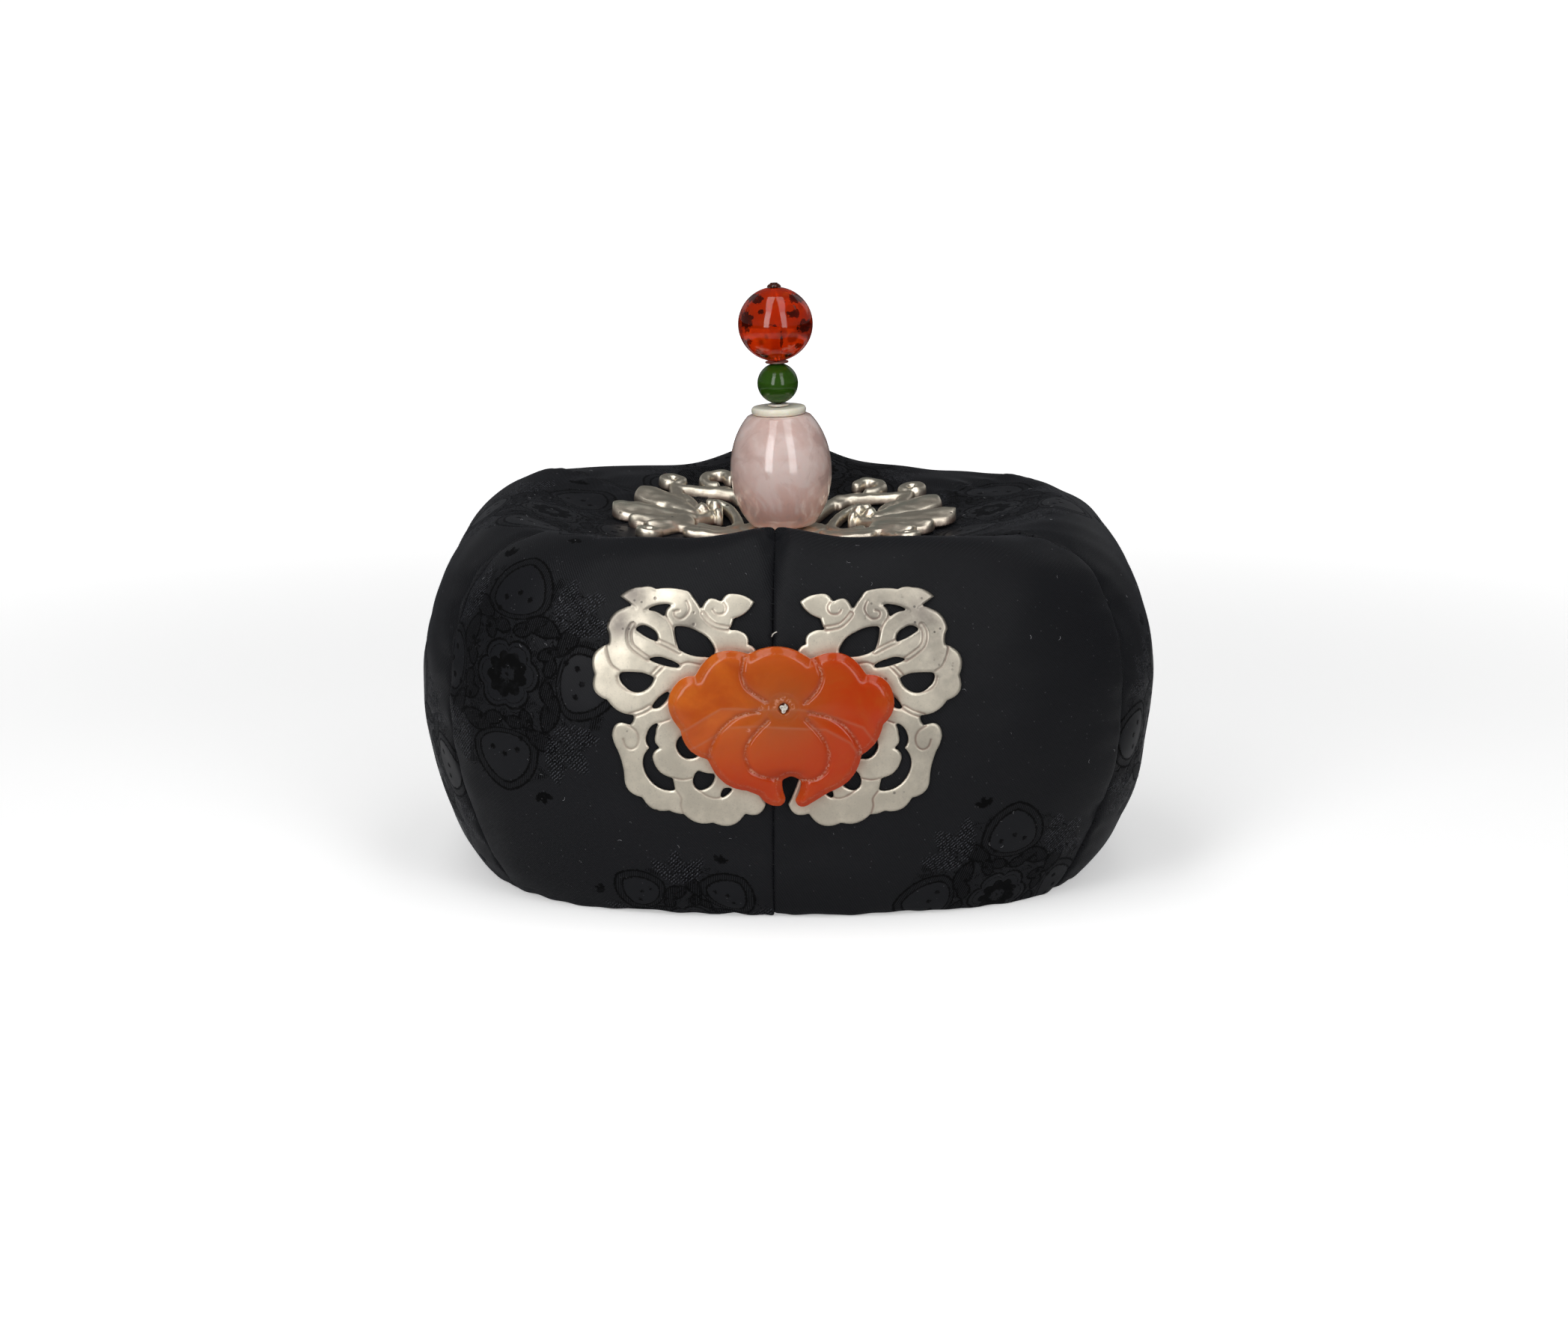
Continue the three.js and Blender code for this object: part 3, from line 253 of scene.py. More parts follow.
# It is drawn for the right wing: each run's path, its first, middle and last width, and its height.
WING_RUNS = {
    "petal_back": ([(19, 3), (25.5, 8.6), (32.5, 13.5)], (3.5, 8.6, 9.2), 2.3),
    "petal_outer": ([(19, 0.5), (28, 0.6), (37, 1)], (3, 9, 9.4), 2.3),
    "petal_front_outer": ([(19, -1.5), (26, -4.6), (32.6, -6.4)], (3, 6.6, 6.2), 2.1),
    "petal_front": ([(19, -3), (24, -7), (28.6, -9.8)], (2.5, 5, 4.8), 2.0),
    "front_stalk": ([(21, -5), (23, -8.5), (25.8, -13)], (2.6, 2.6, 2.8), 1.8),
    "front_leaf": ([(25, -5.5), (18, -6.8), (8, -5.5)], (3.2, 4.6, 4.0), 2.3),
    "front_lobe": ([(9, -6.5), (13.5, -10.5), (20.5, -10)], (4, 5.2, 4.6), 2.3),
    "back_stalk": ([(20.5, 3), (23.5, 10), (25.6, 20.4)], (2.4, 2.9, 3.2), 2.2),
    "back_band": ([(25, 18.5), (17.5, 18.8), (10, 17), (4, 8)], (2.8, 3.0, 3.4), 2.4),
    "inner_stalk": ([(10, 15), (11.8, 17.6), (15.6, 20.6)], (3, 3, 2.8), 2.2),
    "loop": ([(24, 15), (20.8, 11.5), (21, 4.5)], (2.2, 2.6, 2.4), 2.0),
    "ring": ([(18, -4.5), (13, -4.5), (10.4, 0), (10.4, 6), (13.2, 11.5), (18, 13)], (2.6, 2.6, 2.2), 2.6),
    "root": ([(11.5, -1.5), (8, -1), (3, 0)], (5, 6, 6), 1.7),
    "boss_stem": ([(19.6, 0.6), (17, 4), (15.5, 8)], (2.2, 2.6, 2.6), 1.9),
    "boss_left": ([(15.4, 5.4), (13.6, 5.8)], (3.2, 3.2, 3.2), 2.9),
    "boss_back": ([(16, 8), (15, 10.2)], (3.2, 3.2, 3.2), 3.1),
    "boss_right": ([(17.6, 6), (18.6, 8)], (3.0, 3.0, 3.0), 2.8),
}
# Its curls: the eye's place, the outer radius, the width, the angle it starts from, its sweep and height.
WING_CURLS = [
    (26.6, 22.4, 2.4, 2.5, 250, -360, 2.2),
    (16.4, 24.6, 3.7, 2.5, 262, 300, 2.2),
    (27.6, -13.4, 2.1, 2.3, 150, 360, 1.9),
]

# The finial: its foot, its lean to the left in degrees, the gaps under and between the beads, and the radius
# of their bore with the bevel at its ends.
FINIAL_X = 0.5
FINIAL_LEAN = 2.2
SEAT_GAP = 0.3
BEAD_GAP = 0.1
BEAD_HOLE = 0.7
BEAD_LIP = 0.15
# The beads from the crown up: name, slot, material, shape, radius, height, and the radius of their ends.
BEADS = [
    ("quartz_barrel", "quartz", "Cloudy rose quartz", "round", 10.85, 24.0, 6.5),
    ("white_disc", "ivory", "Polished ivory", "disc", 5.85, 1.6, 5.6),
    ("disc_spacer", "spacer", "Pale spacer", "disc", 2.3, 0.5, 2.2),
    ("jade_bead", "jade", "Polished jade", "round", 4.35, 8.5, 0.9),
    ("amber_spacer", "spacer", "Horn spacer", "disc", 2.5, 0.4, 2.4),
    ("amber_bead", "amber", "Clear amber", "round", 7.95, 15.6, 1.2),
    ("top_seed_bead", "amber", "Dark seed", "dome", 1.5, 0.85, 0.9),
]
# Dark patches painted into the amber's colour: across and up from its middle, half widths, and 1 for its
# back.
AMBER_PATCHES = [
    (-6.0, 1.3, 1.5, 2.4, 0), (3.9, 2.9, 1.3, 1.0, 0), (6.2, 0.2, 1.7, 1.6, 0), (-4.4, 5.8, 2.2, 1.0, 0),
    (4.6, 5.8, 2.4, 1.0, 0), (-3.2, 3.4, 0.8, 0.5, 0), (-5.6, -3.2, 0.9, 0.7, 0), (4.6, -3.9, 1.0, 0.7, 0),
    (-0.6, 0.6, 1.6, 0.22, 0), (1.3, -3.0, 0.3, 3.4, 0), (-2.6, -6.3, 1.2, 0.5, 0), (2.9, -6.2, 1.2, 0.5, 0),
    (4.0, 3.0, 2.0, 1.4, 1), (-3.5, -2.0, 1.6, 2.2, 1), (-5.0, 4.0, 1.6, 1.4, 1), (5.4, -2.6, 1.4, 1.8, 1),
]
# The polished beads' colour, how light scatters in them, how far in millimetres, roughness, the clouds'
# colour and their scale. The jade's own colour is a setting.
POLISHED = {
    "Polished ivory": ((0.99, 0.94, 0.8), (1.0, 0.7, 0.4), 1.5, 0.3, (0.92, 0.85, 0.7), 200.0),
    "Polished jade": (None, (0.3, 1.0, 0.15), 1.5, 0.1, (0.028, 0.084, 0.007), 180.0),
    "Dark seed": ((0.09, 0.022, 0.012), (1.0, 0.3, 0.1), 0.4, 0.15, (0.03, 0.01, 0.008), 500.0),
    "Pale spacer": ((0.8, 0.74, 0.66), (1.0, 0.7, 0.5), 0.5, 0.3, (0.66, 0.58, 0.5), 500.0),
    "Horn spacer": ((0.3, 0.2, 0.17), (1.0, 0.5, 0.4), 0.5, 0.4, (0.22, 0.05, 0.03), 500.0),
}
# The stringing thread's strands: their radius, how far out they lie, and the length of one turn.
STRAND_RADIUS = 0.27
STRAND_OUT = 0.24
STRAND_LAY = 3.2
# The stone's knot: its radius, how far it sinks in the hole and its thread's radius, and where on the front
# the loose end of such a thread stands out.
KNOT_RADIUS = 0.95
KNOT_SUNK = 0.1
KNOT_THREAD = 0.24
THREAD_END = (-1.7, 60.0)

# The camera stands in front of the cap, a little above it.
CAMERA_PLACE = (0.65, -832.3, 215.4)
CAMERA_AIM = (0.65, 0.0, 43.0)
CAMERA_LENS = 90.27

# The studio, in metres: half the floor's side, the spots that the right front strip bends through on its way
# up and over the coronet, the ends of the right box at the back, and how wide strips and boxes are.
FLOOR_HALF = 6.0
STRIP_PLACES = [(0.52, -0.98, 0.02), (0.36, -0.72, 0.84), (0.14, 0.2, 1.15)]
STRIP_WIDTH = 0.3
BACK_PLACES = [(0.7, 0.9, 0.3), (0.7, 0.9, 1.0)]
BACK_WIDTH = 0.6
# How bright the right strip and the strips' upper halves are beside the left and the lower ones.
RIGHT_STRIP_SHARE = 0.72
OVER_SHARE = 0.56
LEFT_BACK_SHARE = 0.6
# The grey of the tent that surrounds the coronet, at its sides and above.
TENT_SIDES = 0.16
TENT_TOP = 0.08


# Sizes and colours


class CoronetSettings(bpy.types.PropertyGroup):
    """Sizes and colours of the coronet that a user would change."""

    silk_colour: bpy.props.FloatVectorProperty(
        name="Silk", description="Colour of the silk's ground", subtype="COLOR", size=3,
        default=(0.0078, 0.0081, 0.0094), min=0, max=1)
    silver_colour: bpy.props.FloatVectorProperty(
        name="Silver", description="Colour of the silver where it is rubbed", subtype="COLOR", size=3,
        default=(0.8, 0.735, 0.61), min=0, max=1)
    # tarnish in the silver's recesses, which on the crown plate also paints shade low on its runs
    tarnish_colour: bpy.props.FloatVectorProperty(
        name="Tarnish", description="Colour of the silver in its recesses", subtype="COLOR", size=3,
        default=(0.3, 0.2, 0.165), min=0, max=1)
    stone_colour: bpy.props.FloatVectorProperty(
        name="Carved stone", description="Colour of the orange stone", subtype="COLOR", size=3,
        default=(0.45, 0.075, 0.01), min=0, max=1)
    quartz_colour: bpy.props.FloatVectorProperty(
        name="Rose quartz", description="Colour of the barrel bead", subtype="COLOR", size=3,
        default=(0.79, 0.6, 0.55), min=0, max=1)
    jade_colour: bpy.props.FloatVectorProperty(
        name="Jade", description="Colour of the green bead", subtype="COLOR", size=3,
        default=(0.034, 0.1, 0.008), min=0, max=1)
    amber_colour: bpy.props.FloatVectorProperty(
        name="Amber", description="Colour of the clear orange bead", subtype="COLOR", size=3,
        default=(0.86, 0.044, 0.001), min=0, max=1)
    row_length: bpy.props.FloatProperty(
        name="Silk detail", description="Length of the silk panels' mesh squares", unit="LENGTH",
        default=0.62 * MM, min=0.3 * MM, max=5 * MM)
    pucker: bpy.props.FloatProperty(
        name="Pucker", description="Height of the puckers along the seams", unit="LENGTH",
        default=0.28 * MM, min=0, max=2 * MM)
    chasing: bpy.props.FloatProperty(
        name="Chasing", description="Depth of the lines chased in the front plates", unit="LENGTH",
        default=0.16 * MM, min=0, max=0.4 * MM)
    carving: bpy.props.FloatProperty(
        name="Carving", description="Depth of the stone's grooves", unit="LENGTH",
        default=0.34 * MM, min=0, max=1 * MM)
    key_power: bpy.props.FloatProperty(
        name="Strip softboxes", description="Brightness of the two long strips over the coronet",
        default=5.0, min=0, max=50)
    back_power: bpy.props.FloatProperty(
        name="Back softboxes", description="Brightness of the two wide softboxes behind",
        default=0.36, min=0, max=50)


def settings():
    return bpy.context.scene.coronet


# The cap's wall


def blend_rows(rows, place):
    """Values between a table's rows, on a smooth curve through them. place is an array of row places."""
    last = len(rows) - 1
    row = np.clip(np.floor(place).astype(int), 0, last - 1)
    share = (place - row)[..., None]
    before, start, end, after = (rows[np.clip(row + step, 0, last)] for step in (-1, 0, 1, 2))
    start_slope = (end - before) / 2
    end_slope = (after - start) / 2
    bend = 3 * (end - start) - 2 * start_slope - end_slope
    twist = start_slope + end_slope - 2 * (end - start)
    return start + share * (start_slope + share * (bend + share * twist))


def bell(distance, width):
    """1 at no distance, falling smoothly to nearly 0 at twice the width."""
    return np.exp(-((distance / width) ** 2))


def turn_apart(turn, other):
    return np.abs((turn - other + 180) % 360 - 180)


def wall(place, turn, creases=(0,) * len(SEAMS)):
    """Points of the padded wall at levels of the section table and turns round the cap, in degrees.

    With no creases it is the taut surface that the metalwork lies on.
    """
    place, turn = np.broadcast_arrays(np.asarray(place, float), np.asarray(turn, float))
    wide, deep, high, square, lifting, leaning, creasing = np.moveaxis(blend_rows(LEVELS, place), -1, 0)
    sine = np.sin(np.radians(turn))
    cosine = np.cos(np.radians(turn))
    wide = wide * np.where(sine < 0, LEFT_WIDTH, RIGHT_WIDTH)
    deep = deep * HALF_DEPTH
    radius = (np.abs(sine / wide) ** square + np.abs(cosine / deep) ** square) ** (-1 / square)
    lift = np.zeros_like(radius)
    crease = np.zeros_like(radius)
    for (seam_turn, rise, spread, _), depth in zip(SEAMS, creases):
        distance = np.radians(turn_apart(turn, seam_turn)) * radius
        lift += rise * bell(distance, spread)
        crease += depth * np.exp(-distance / CREASE_SPREAD)
    across, back, wide_spread, deep_spread, sunk = CROWN_HOLLOW
    lift -= sunk * bell(radius * sine - across, wide_spread) * bell(radius * cosine + back, deep_spread)
    reach = radius - crease * creasing
    height = np.maximum(0, high * RIM_HEIGHT + lift * lifting - LEAN * cosine * leaning)
    return np.stack([reach * sine, -reach * cosine, height], -1)


def place_where(measure, value, low, high, rising):
    """The level where a steady measure of the wall reaches a value, for arrays of values."""
    low = np.full(value.shape, float(low))
    high = np.full(value.shape, float(high))
    for _ in range(18):
        middle = (low + high) / 2
        short = (measure(middle) < value) == rising
        low = np.where(short, middle, low)
        high = np.where(short, high, middle)
    return low


def front_reach(x, z):
    """How far forward the cap's taut front stands at spots of its face."""
    reach = np.full(x.shape, HALF_DEPTH)
    for _ in range(5):
        turn = np.degrees(np.arctan2(x, reach))
        place = place_where(lambda level: wall(level, turn)[..., 2], z, RIM, SKIRT, False)
        spot = wall(place, turn)
        reach = np.sqrt(np.maximum(spot[..., 0] ** 2 + spot[..., 1] ** 2 - x**2, 1))
    return reach


def crown_height(x, y):
    """How high the cap's taut crown stands over spots of its plan, level across the middle."""
    radius = np.maximum(np.hypot(x, y), CROWN_MIDDLE_RADIUS)
    turn = np.degrees(np.arctan2(x, -y))

    def reach_at(directions):
        return lambda level: np.hypot(*np.moveaxis(wall(level, directions)[..., :2], -1, 0))

    height = wall(place_where(reach_at(turn), radius, 0, RIM, True), turn)[..., 2]
    back = np.array([180.0])
    middle = np.array([CROWN_MIDDLE_RADIUS])
    level = wall(place_where(reach_at(back), middle, 0, RIM, True), back)[0, 2]
    return np.maximum(height, level)


# Flat outlines and paths


def turned(flat, degrees):
    """Flat points as seen from axes that are turned by an angle."""
    cosine, sine = math.cos(math.radians(degrees)), math.sin(math.radians(degrees))
    x, y = flat.T
    return np.stack([x * cosine + y * sine, y * cosine - x * sine], -1)


def circle(radius, sides):
    turn = np.linspace(0, math.tau, sides, endpoint=False)
    return radius * np.stack([np.cos(turn), np.sin(turn)], -1)


def lengths_along(points):
    """How far along a path each of its points is."""
    return np.concatenate([[0], np.cumsum(np.linalg.norm(np.diff(points, axis=0), axis=1))])


def arc_loop(rows, step):
    """A closed loop of points from an outline's rows, each arc cut into chords of about the step."""
    spots = np.array(rows, float)
    ends = np.roll(spots[:, :2], -1, axis=0)
    area = np.sum(spots[:, 0] * ends[:, 1] - ends[:, 0] * spots[:, 1])
    away = -1 if area > 0 else 1
    loop = []
    for (x, z, bow), end in zip(spots, ends):
        start = np.array([x, z])
        chord = end - start
        side = np.array([-chord[1], chord[0]]) * away
        count = max(1, round(np.hypot(*chord) * (1 + 2 * bow * bow) / step))
        for index in range(count):
            share = index / count
            loop.append(start + chord * share + side * 4 * bow * share * (1 - share))
    return np.array(loop)


def smooth_path(points, step):
    """Points a step apart on a smooth curve through the given ones."""
    rows = np.array(points, float)
    dense = blend_rows(rows, np.linspace(0, len(rows) - 1, 40 * len(rows)))
    along = lengths_along(dense)
    even = np.linspace(0, along[-1], max(3, round(along[-1] / step) + 1))
    return np.stack([np.interp(even, along, dense[:, axis]) for axis in range(dense.shape[1])], -1)


def distance_to(points, path, closed=False):
    """Each flat point's distance to a path, and how far along the path its nearest spot is."""
    path = np.vstack([path, path[:1]]) if closed else np.asarray(path)
    nearest = np.full(len(points), np.inf)
    along = np.zeros(len(points))
    travelled = 0.0
    for start, end in zip(path[:-1], path[1:]):
        chord = end - start
        length = np.hypot(*chord)
        offset = points - start
        share = np.clip(offset @ chord / max(length**2, 1e-12), 0, 1)
        apart = np.hypot(*(offset - share[:, None] * chord).T)
        closer = apart < nearest
        nearest = np.where(closer, apart, nearest)
        along = np.where(closer, travelled + share * length, along)
        travelled += length
    return nearest, along


def from_lines(flat, lines, step=0):
    """Each flat point's distance to the nearest of some lines, smoothed ones where a step is given."""
    paths = [smooth_path(line, step) if step else np.array(line) for line in lines]
    return np.min([distance_to(flat, path)[0] for path in paths], axis=0)


def step_at(distance, edge, soft):
    """1 within an edge and 0 past it, with a soft step between."""
    return 1 / (1 + np.exp((distance - edge) / soft))


# Meshes and pieces


def to_metres(points):
    return (np.asarray(points) + CAP_MIDDLE) * MM


def link_object(name, data):
    piece = bpy.data.objects.new(name, data)
    bpy.context.collection.objects.link(piece)
    return piece


def add_object(name, points, faces, material):
    """A mesh object from points in the frame's metres, with its faces turned smooth."""
    mesh = bpy.data.meshes.new(name)
    mesh.from_pydata([tuple(point) for point in points], [], faces)
    mesh.validate()
    mesh.polygons.foreach_set("use_smooth", [True] * len(mesh.polygons))
    mesh.materials.append(material)
    return link_object(name, mesh)


def tube_faces(rings, size, closed=False):
    """The faces of a tube of rings, with a face at each end unless it closes on itself."""
    faces = []
    for ring in range(rings if closed else rings - 1):
        after = (ring + 1) % rings
        for spot in range(size):
            other = (spot + 1) % size
            faces.append((ring * size + spot, ring * size + other, after * size + other, after * size + spot))
    if not closed:
        faces.append(tuple(range(size - 1, -1, -1)))
        faces.append(tuple(range((rings - 1) * size, rings * size)))
    return faces


def lathe_shell(profile, sides, closed=True):
    """Points and faces of a profile turned about the z axis, as how far out and how far up."""
    rings = [np.column_stack([circle(out, sides), np.full(sides, up)]) for out, up in profile]
    return np.vstack(rings), tube_faces(len(profile), sides, closed)


def join_shells(shells):
    points = []
    faces = []
    for shell_points, shell_faces in shells:
        start = sum(len(part) for part in points)
        points.append(shell_points)
        faces += [tuple(start + corner for corner in face) for face in shell_faces]
    return np.vstack(points), faces


def set_attribute(piece, name, values):
    layer = piece.data.attributes.new(name, "FLOAT", "POINT")
    layer.data.foreach_set("value", np.asarray(values, np.float32))


def dress(piece, points, material):
    """Moves a piece's points to their places in the frame, in millimetres, and gives it its one material."""
    piece.data.vertices.foreach_set("co", to_metres(points).astype(np.float32).ravel())
    piece.data.update()
    piece.data.materials.clear()
    piece.data.materials.append(material)


def points_of(piece):
    points = np.empty(3 * len(piece.data.vertices), np.float32)
    piece.data.vertices.foreach_get("co", points)
    return points.reshape(-1, 3).astype(float)


def plain_mesh(piece):
    """Bakes a piece's modifiers into its mesh, and takes them off."""
    depsgraph = bpy.context.evaluated_depsgraph_get()
    mesh = bpy.data.meshes.new_from_object(piece.evaluated_get(depsgraph))
    piece.modifiers.clear()
    old = piece.data
    piece.data = mesh
    bpy.data.meshes.remove(old)
    return piece


def recalculate(piece):
    work = bmesh.new()
    work.from_mesh(piece.data)
    bmesh.ops.remove_doubles(work, verts=work.verts, dist=1e-7)
    bmesh.ops.recalc_face_normals(work, faces=work.faces)
    work.to_mesh(piece.data)
    work.free()


def remesh(piece, voxel, smoothing):
    """Joins a piece's closed shells into one even skin, in millimetres, and softens its edges."""
    cast = piece.modifiers.new("Cast", "REMESH")
    cast.mode = "VOXEL"
    cast.voxel_size = voxel
    cast.use_smooth_shade = True
    soften = piece.modifiers.new("Soften", "SMOOTH")
    soften.iterations = smoothing
    soften.factor = 0.5
    return plain_mesh(piece)


def pierced_slab(name, outline, holes, thick, voxel, smoothing):
    """A flat slab with holes, as an even skin: x and z across, and the way to its front face in y."""
    curve = bpy.data.curves.new(name, "CURVE")
    curve.dimensions = "2D"
    curve.fill_mode = "BOTH"
    curve.extrude = thick / 2
    for loop in [outline, *holes]:
        spline = curve.splines.new("POLY")
        spline.points.add(len(loop) - 1)
        for point, (x, z) in zip(spline.points, loop):
            point.co = (x, z, 0, 1)
        spline.use_cyclic_u = True
    drawn = link_object(name, curve)
    depsgraph = bpy.context.evaluated_depsgraph_get()
    mesh = bpy.data.meshes.new_from_object(drawn.evaluated_get(depsgraph))
    bpy.data.objects.remove(drawn)
    bpy.data.curves.remove(curve)
    piece = link_object(name, mesh)
    recalculate(piece)
    return remesh(piece, voxel, smoothing)


def finish_piece(piece, node=None):
    """Hands a piece over: it rides on the one body, and stands for its CAD node if it has one."""
    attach(piece, "root")
    if node:
        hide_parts(node)


def waves(points, length, seed, count=7):
    """A gentle random swell from -1 to 1 over flat points, with waves of about the given length."""
    draw = np.random.default_rng(seed)
    total = np.zeros(len(points))
    for _ in range(count):
        heading = draw.uniform(0, math.tau)
        pitch = length * draw.uniform(0.7, 1.6)
        phase = draw.uniform(0, math.tau)
        direction = np.array([math.cos(heading), math.sin(heading)])
        total += np.sin(points @ direction * math.tau / pitch + phase)
    return total / math.sqrt(count)


def ripples(along, draw, count, shortest, longest):
    """The sum of sine waves of random lengths along a line."""
    return sum(
        np.sin(along * math.tau / draw.uniform(shortest, longest) + draw.uniform(0, math.tau))
        for _ in range(count))


# Materials


class Graph:
    """Adds nodes to a node tree, a call a node, with values or other nodes' outputs as its inputs."""

    def __init__(self, tree):
        self.tree = tree

    def add(self, kind, inputs=None, **values):
        node = self.tree.nodes.new(kind)
        for key, value in values.items():
            setattr(node, key, value)
        self.fill(node.inputs, inputs or {})
        return node

    def fill(self, sockets, values):
        for key, value in values.items():
            self.set(sockets[key], value)

    def set(self, socket, value):
        if isinstance(value, bpy.types.NodeSocket):
            self.tree.links.new(value, socket)
        else:
            socket.default_value = value

    def math(self, operation, first, second=0.0, third=0.0, clamp=False):
        node = self.add("ShaderNodeMath", {0: first, 1: second, 2: third}, operation=operation)
        node.use_clamp = clamp
        return node.outputs[0]

    def times(self, first, second, clamp=False):
        return self.math("MULTIPLY", first, second, clamp=clamp)

    def scaled(self, value, by, plus):
        return self.math("MULTIPLY_ADD", value, by, plus)

    def most(self, first, *others):
        for other in others:
            first = self.math("MAXIMUM", first, other)
        return first

    def parts(self, vector):
        return self.add("ShaderNodeSeparateXYZ", {0: vector}).outputs

    def combined(self, x=0.0, y=0.0, z=0.0):
        return self.add("ShaderNodeCombineXYZ", {0: x, 1: y, 2: z}).outputs[0]

    def vector(self, operation, first, second=(0, 0, 0)):
        return self.add("ShaderNodeVectorMath", {0: first, 1: second}, operation=operation).outputs[0]

    def resized(self, vector, by):
        return self.add("ShaderNodeVectorMath", {0: vector, "Scale": by}, operation="SCALE").outputs[0]

    def ramp(self, value, low, high, to_low=0.0, to_high=1.0):
        node = self.add("ShaderNodeMapRange", {0: value, 1: low, 2: high, 3: to_low, 4: to_high})
        node.interpolation_type = "SMOOTHSTEP"
        return node.outputs[0]

    def mix(self, share, first, second):
        node = self.add("ShaderNodeMix", data_type="RGBA")
        colours = [socket for socket in node.inputs if socket.type == "RGBA"]
        self.set(node.inputs[0], share)
        self.set(colours[0], first)
        self.set(colours[1], second)
        return next(socket for socket in node.outputs if socket.type == "RGBA")

    def over(self, shade, *coats):
        """Lays coats of colour over a shade, each through a mask and as strongly as its number says."""
        for mask, strength, coat in coats:
            shade = self.mix(mask if strength == 1 else self.times(mask, strength), shade, coat)
        return shade

    def noise(self, coordinates, scale, detail=3.0, roughness=0.5, distortion=0.0):
        node = self.add("ShaderNodeTexNoise", {
            "Vector": coordinates, "Scale": scale, "Detail": detail,
            "Roughness": roughness, "Distortion": distortion,
        })
        return node.outputs["Fac"]

    def bump(self, height, strength, distance, normal=None):
        node = self.add("ShaderNodeBump", {"Strength": strength, "Distance": distance, "Height": height})
        if normal is not None:
            self.set(node.inputs["Normal"], normal)
        return node.outputs["Normal"]

    def place(self):
        return self.add("ShaderNodeTexCoord").outputs["Object"]

    def attribute(self, name):
        return self.add("ShaderNodeAttribute", attribute_name=name).outputs["Fac"]


def colour(rgb, share=1.0):
    return (*(channel * share for channel in rgb), 1.0)


def start_material(name, constants):
    """A new material with the values that are the same all over it. Returns it, its graph and its sockets."""
    material = bpy.data.materials.new(name)
    material.use_nodes = True
    sockets = material.node_tree.nodes["Principled BSDF"].inputs
    for label, value in constants.items():
        sockets[label].default_value = value
    return material, Graph(material.node_tree), sockets


def start_tree(kind, name, inputs, outputs):
    """An empty node tree with named sockets. Returns it, its graph and its two end nodes' sockets.

    A socket's number is its default and gives its kind, and a word is the kind of one with no default.
    """
    tree = bpy.data.node_groups.new(name, kind)
    for in_out, rows in (("INPUT", inputs), ("OUTPUT", outputs)):
        for label, value in rows.items():
            word = value if isinstance(value, str) else type(value).__name__.capitalize()
            socket = tree.interface.new_socket(label, in_out=in_out, socket_type=f"NodeSocket{word}")
            if not isinstance(value, str):
                socket.default_value = value
    graph = Graph(tree)
    return tree, graph, graph.add("NodeGroupInput").outputs, graph.add("NodeGroupOutput").inputs


def start_group(name, inputs, outputs):
    return start_tree("ShaderNodeTree", name, inputs, dict.fromkeys(outputs, "Float"))


def twill_group():
    """The height of fine slanting threads over flat coordinates in millimetres."""
    tree, graph, given, out = start_group(
        "Twill", {"Coordinates": "Vector", "Pitch": 0.4, "Angle": 0.6}, ["Height"])
    turned = graph.add("ShaderNodeVectorRotate", {"Vector": given["Coordinates"], "Angle": given["Angle"]},
                       rotation_type="Z_AXIS").outputs[0]
    split = graph.parts(turned)
    uneven = graph.noise(given["Coordinates"], 0.9, 4.0, 0.6)
    across = graph.scaled(uneven, 0.25, split["Y"])
    turns = graph.times(graph.math("DIVIDE", across, given["Pitch"]), math.tau)
    thread = graph.scaled(graph.math("SINE", turns), 0.5, 0.5)
    steps = graph.times(graph.math("DIVIDE", split["X"], given["Pitch"]), math.tau * 0.6)
    floats = graph.scaled(graph.math("SINE", graph.math("ADD", steps, turns)), 0.5, 0.5)
    height = graph.scaled(floats, 0.35, graph.times(thread, 0.65))
    graph.set(out["Height"], height)
    return tree


def pits_group():
    """Small dark pits and dust specks scattered over a surface, as a mask."""
    tree, graph, given, out = start_group(
        "Specks", {"Coordinates": "Vector", "Scale": 900.0, "Amount": 0.1}, ["Mask"])
    cells = graph.add("ShaderNodeTexVoronoi", {"Vector": given["Coordinates"], "Scale": given["Scale"]})
    chosen = graph.add("ShaderNodeSeparateColor", {0: cells.outputs["Color"]}).outputs[0]
    picked = graph.math("LESS_THAN", chosen, given["Amount"])
    near = graph.ramp(cells.outputs["Distance"], 0.14, 0.26, 1.0, 0.0)
    graph.set(out["Mask"], graph.times(picked, near))
    return tree


def wear_group():
    """Rubbed edges and recesses of metal darkened by tarnish and painted shade, from its recess attribute and
    a slow noise.
    """
    tree, graph, given, out = start_group(
        "Recess grime", {"Coordinates": "Vector", "Recess": 0.0, "Scale": 120.0}, ["Grime", "Cloud"])
    cloud = graph.noise(given["Coordinates"], given["Scale"], 5.0, 0.6)
    tarnish_and_shade = graph.times(given["Recess"], graph.ramp(cloud, 0.25, 0.7, 0.55, 1.0), clamp=True)
    graph.set(out["Grime"], tarnish_and_shade)
    graph.set(out["Cloud"], cloud)
    return tree


def scratch_group():
    """Fine brushed scratches along a slant, as a height."""
    tree, graph, given, out = start_group(
        "Scratches", {"Coordinates": "Vector", "Angle": 0.9}, ["Height"])
    turned = graph.add("ShaderNodeVectorRotate", {"Vector": given["Coordinates"], "Angle": given["Angle"]},
                       rotation_type="Y_AXIS").outputs[0]
    drawn_out = graph.vector("MULTIPLY", turned, (120.0, 1500.0, 4200.0))
    fine = graph.noise(drawn_out, 1.0, 4.0, 0.6)
    graph.set(out["Height"], fine)
    return tree


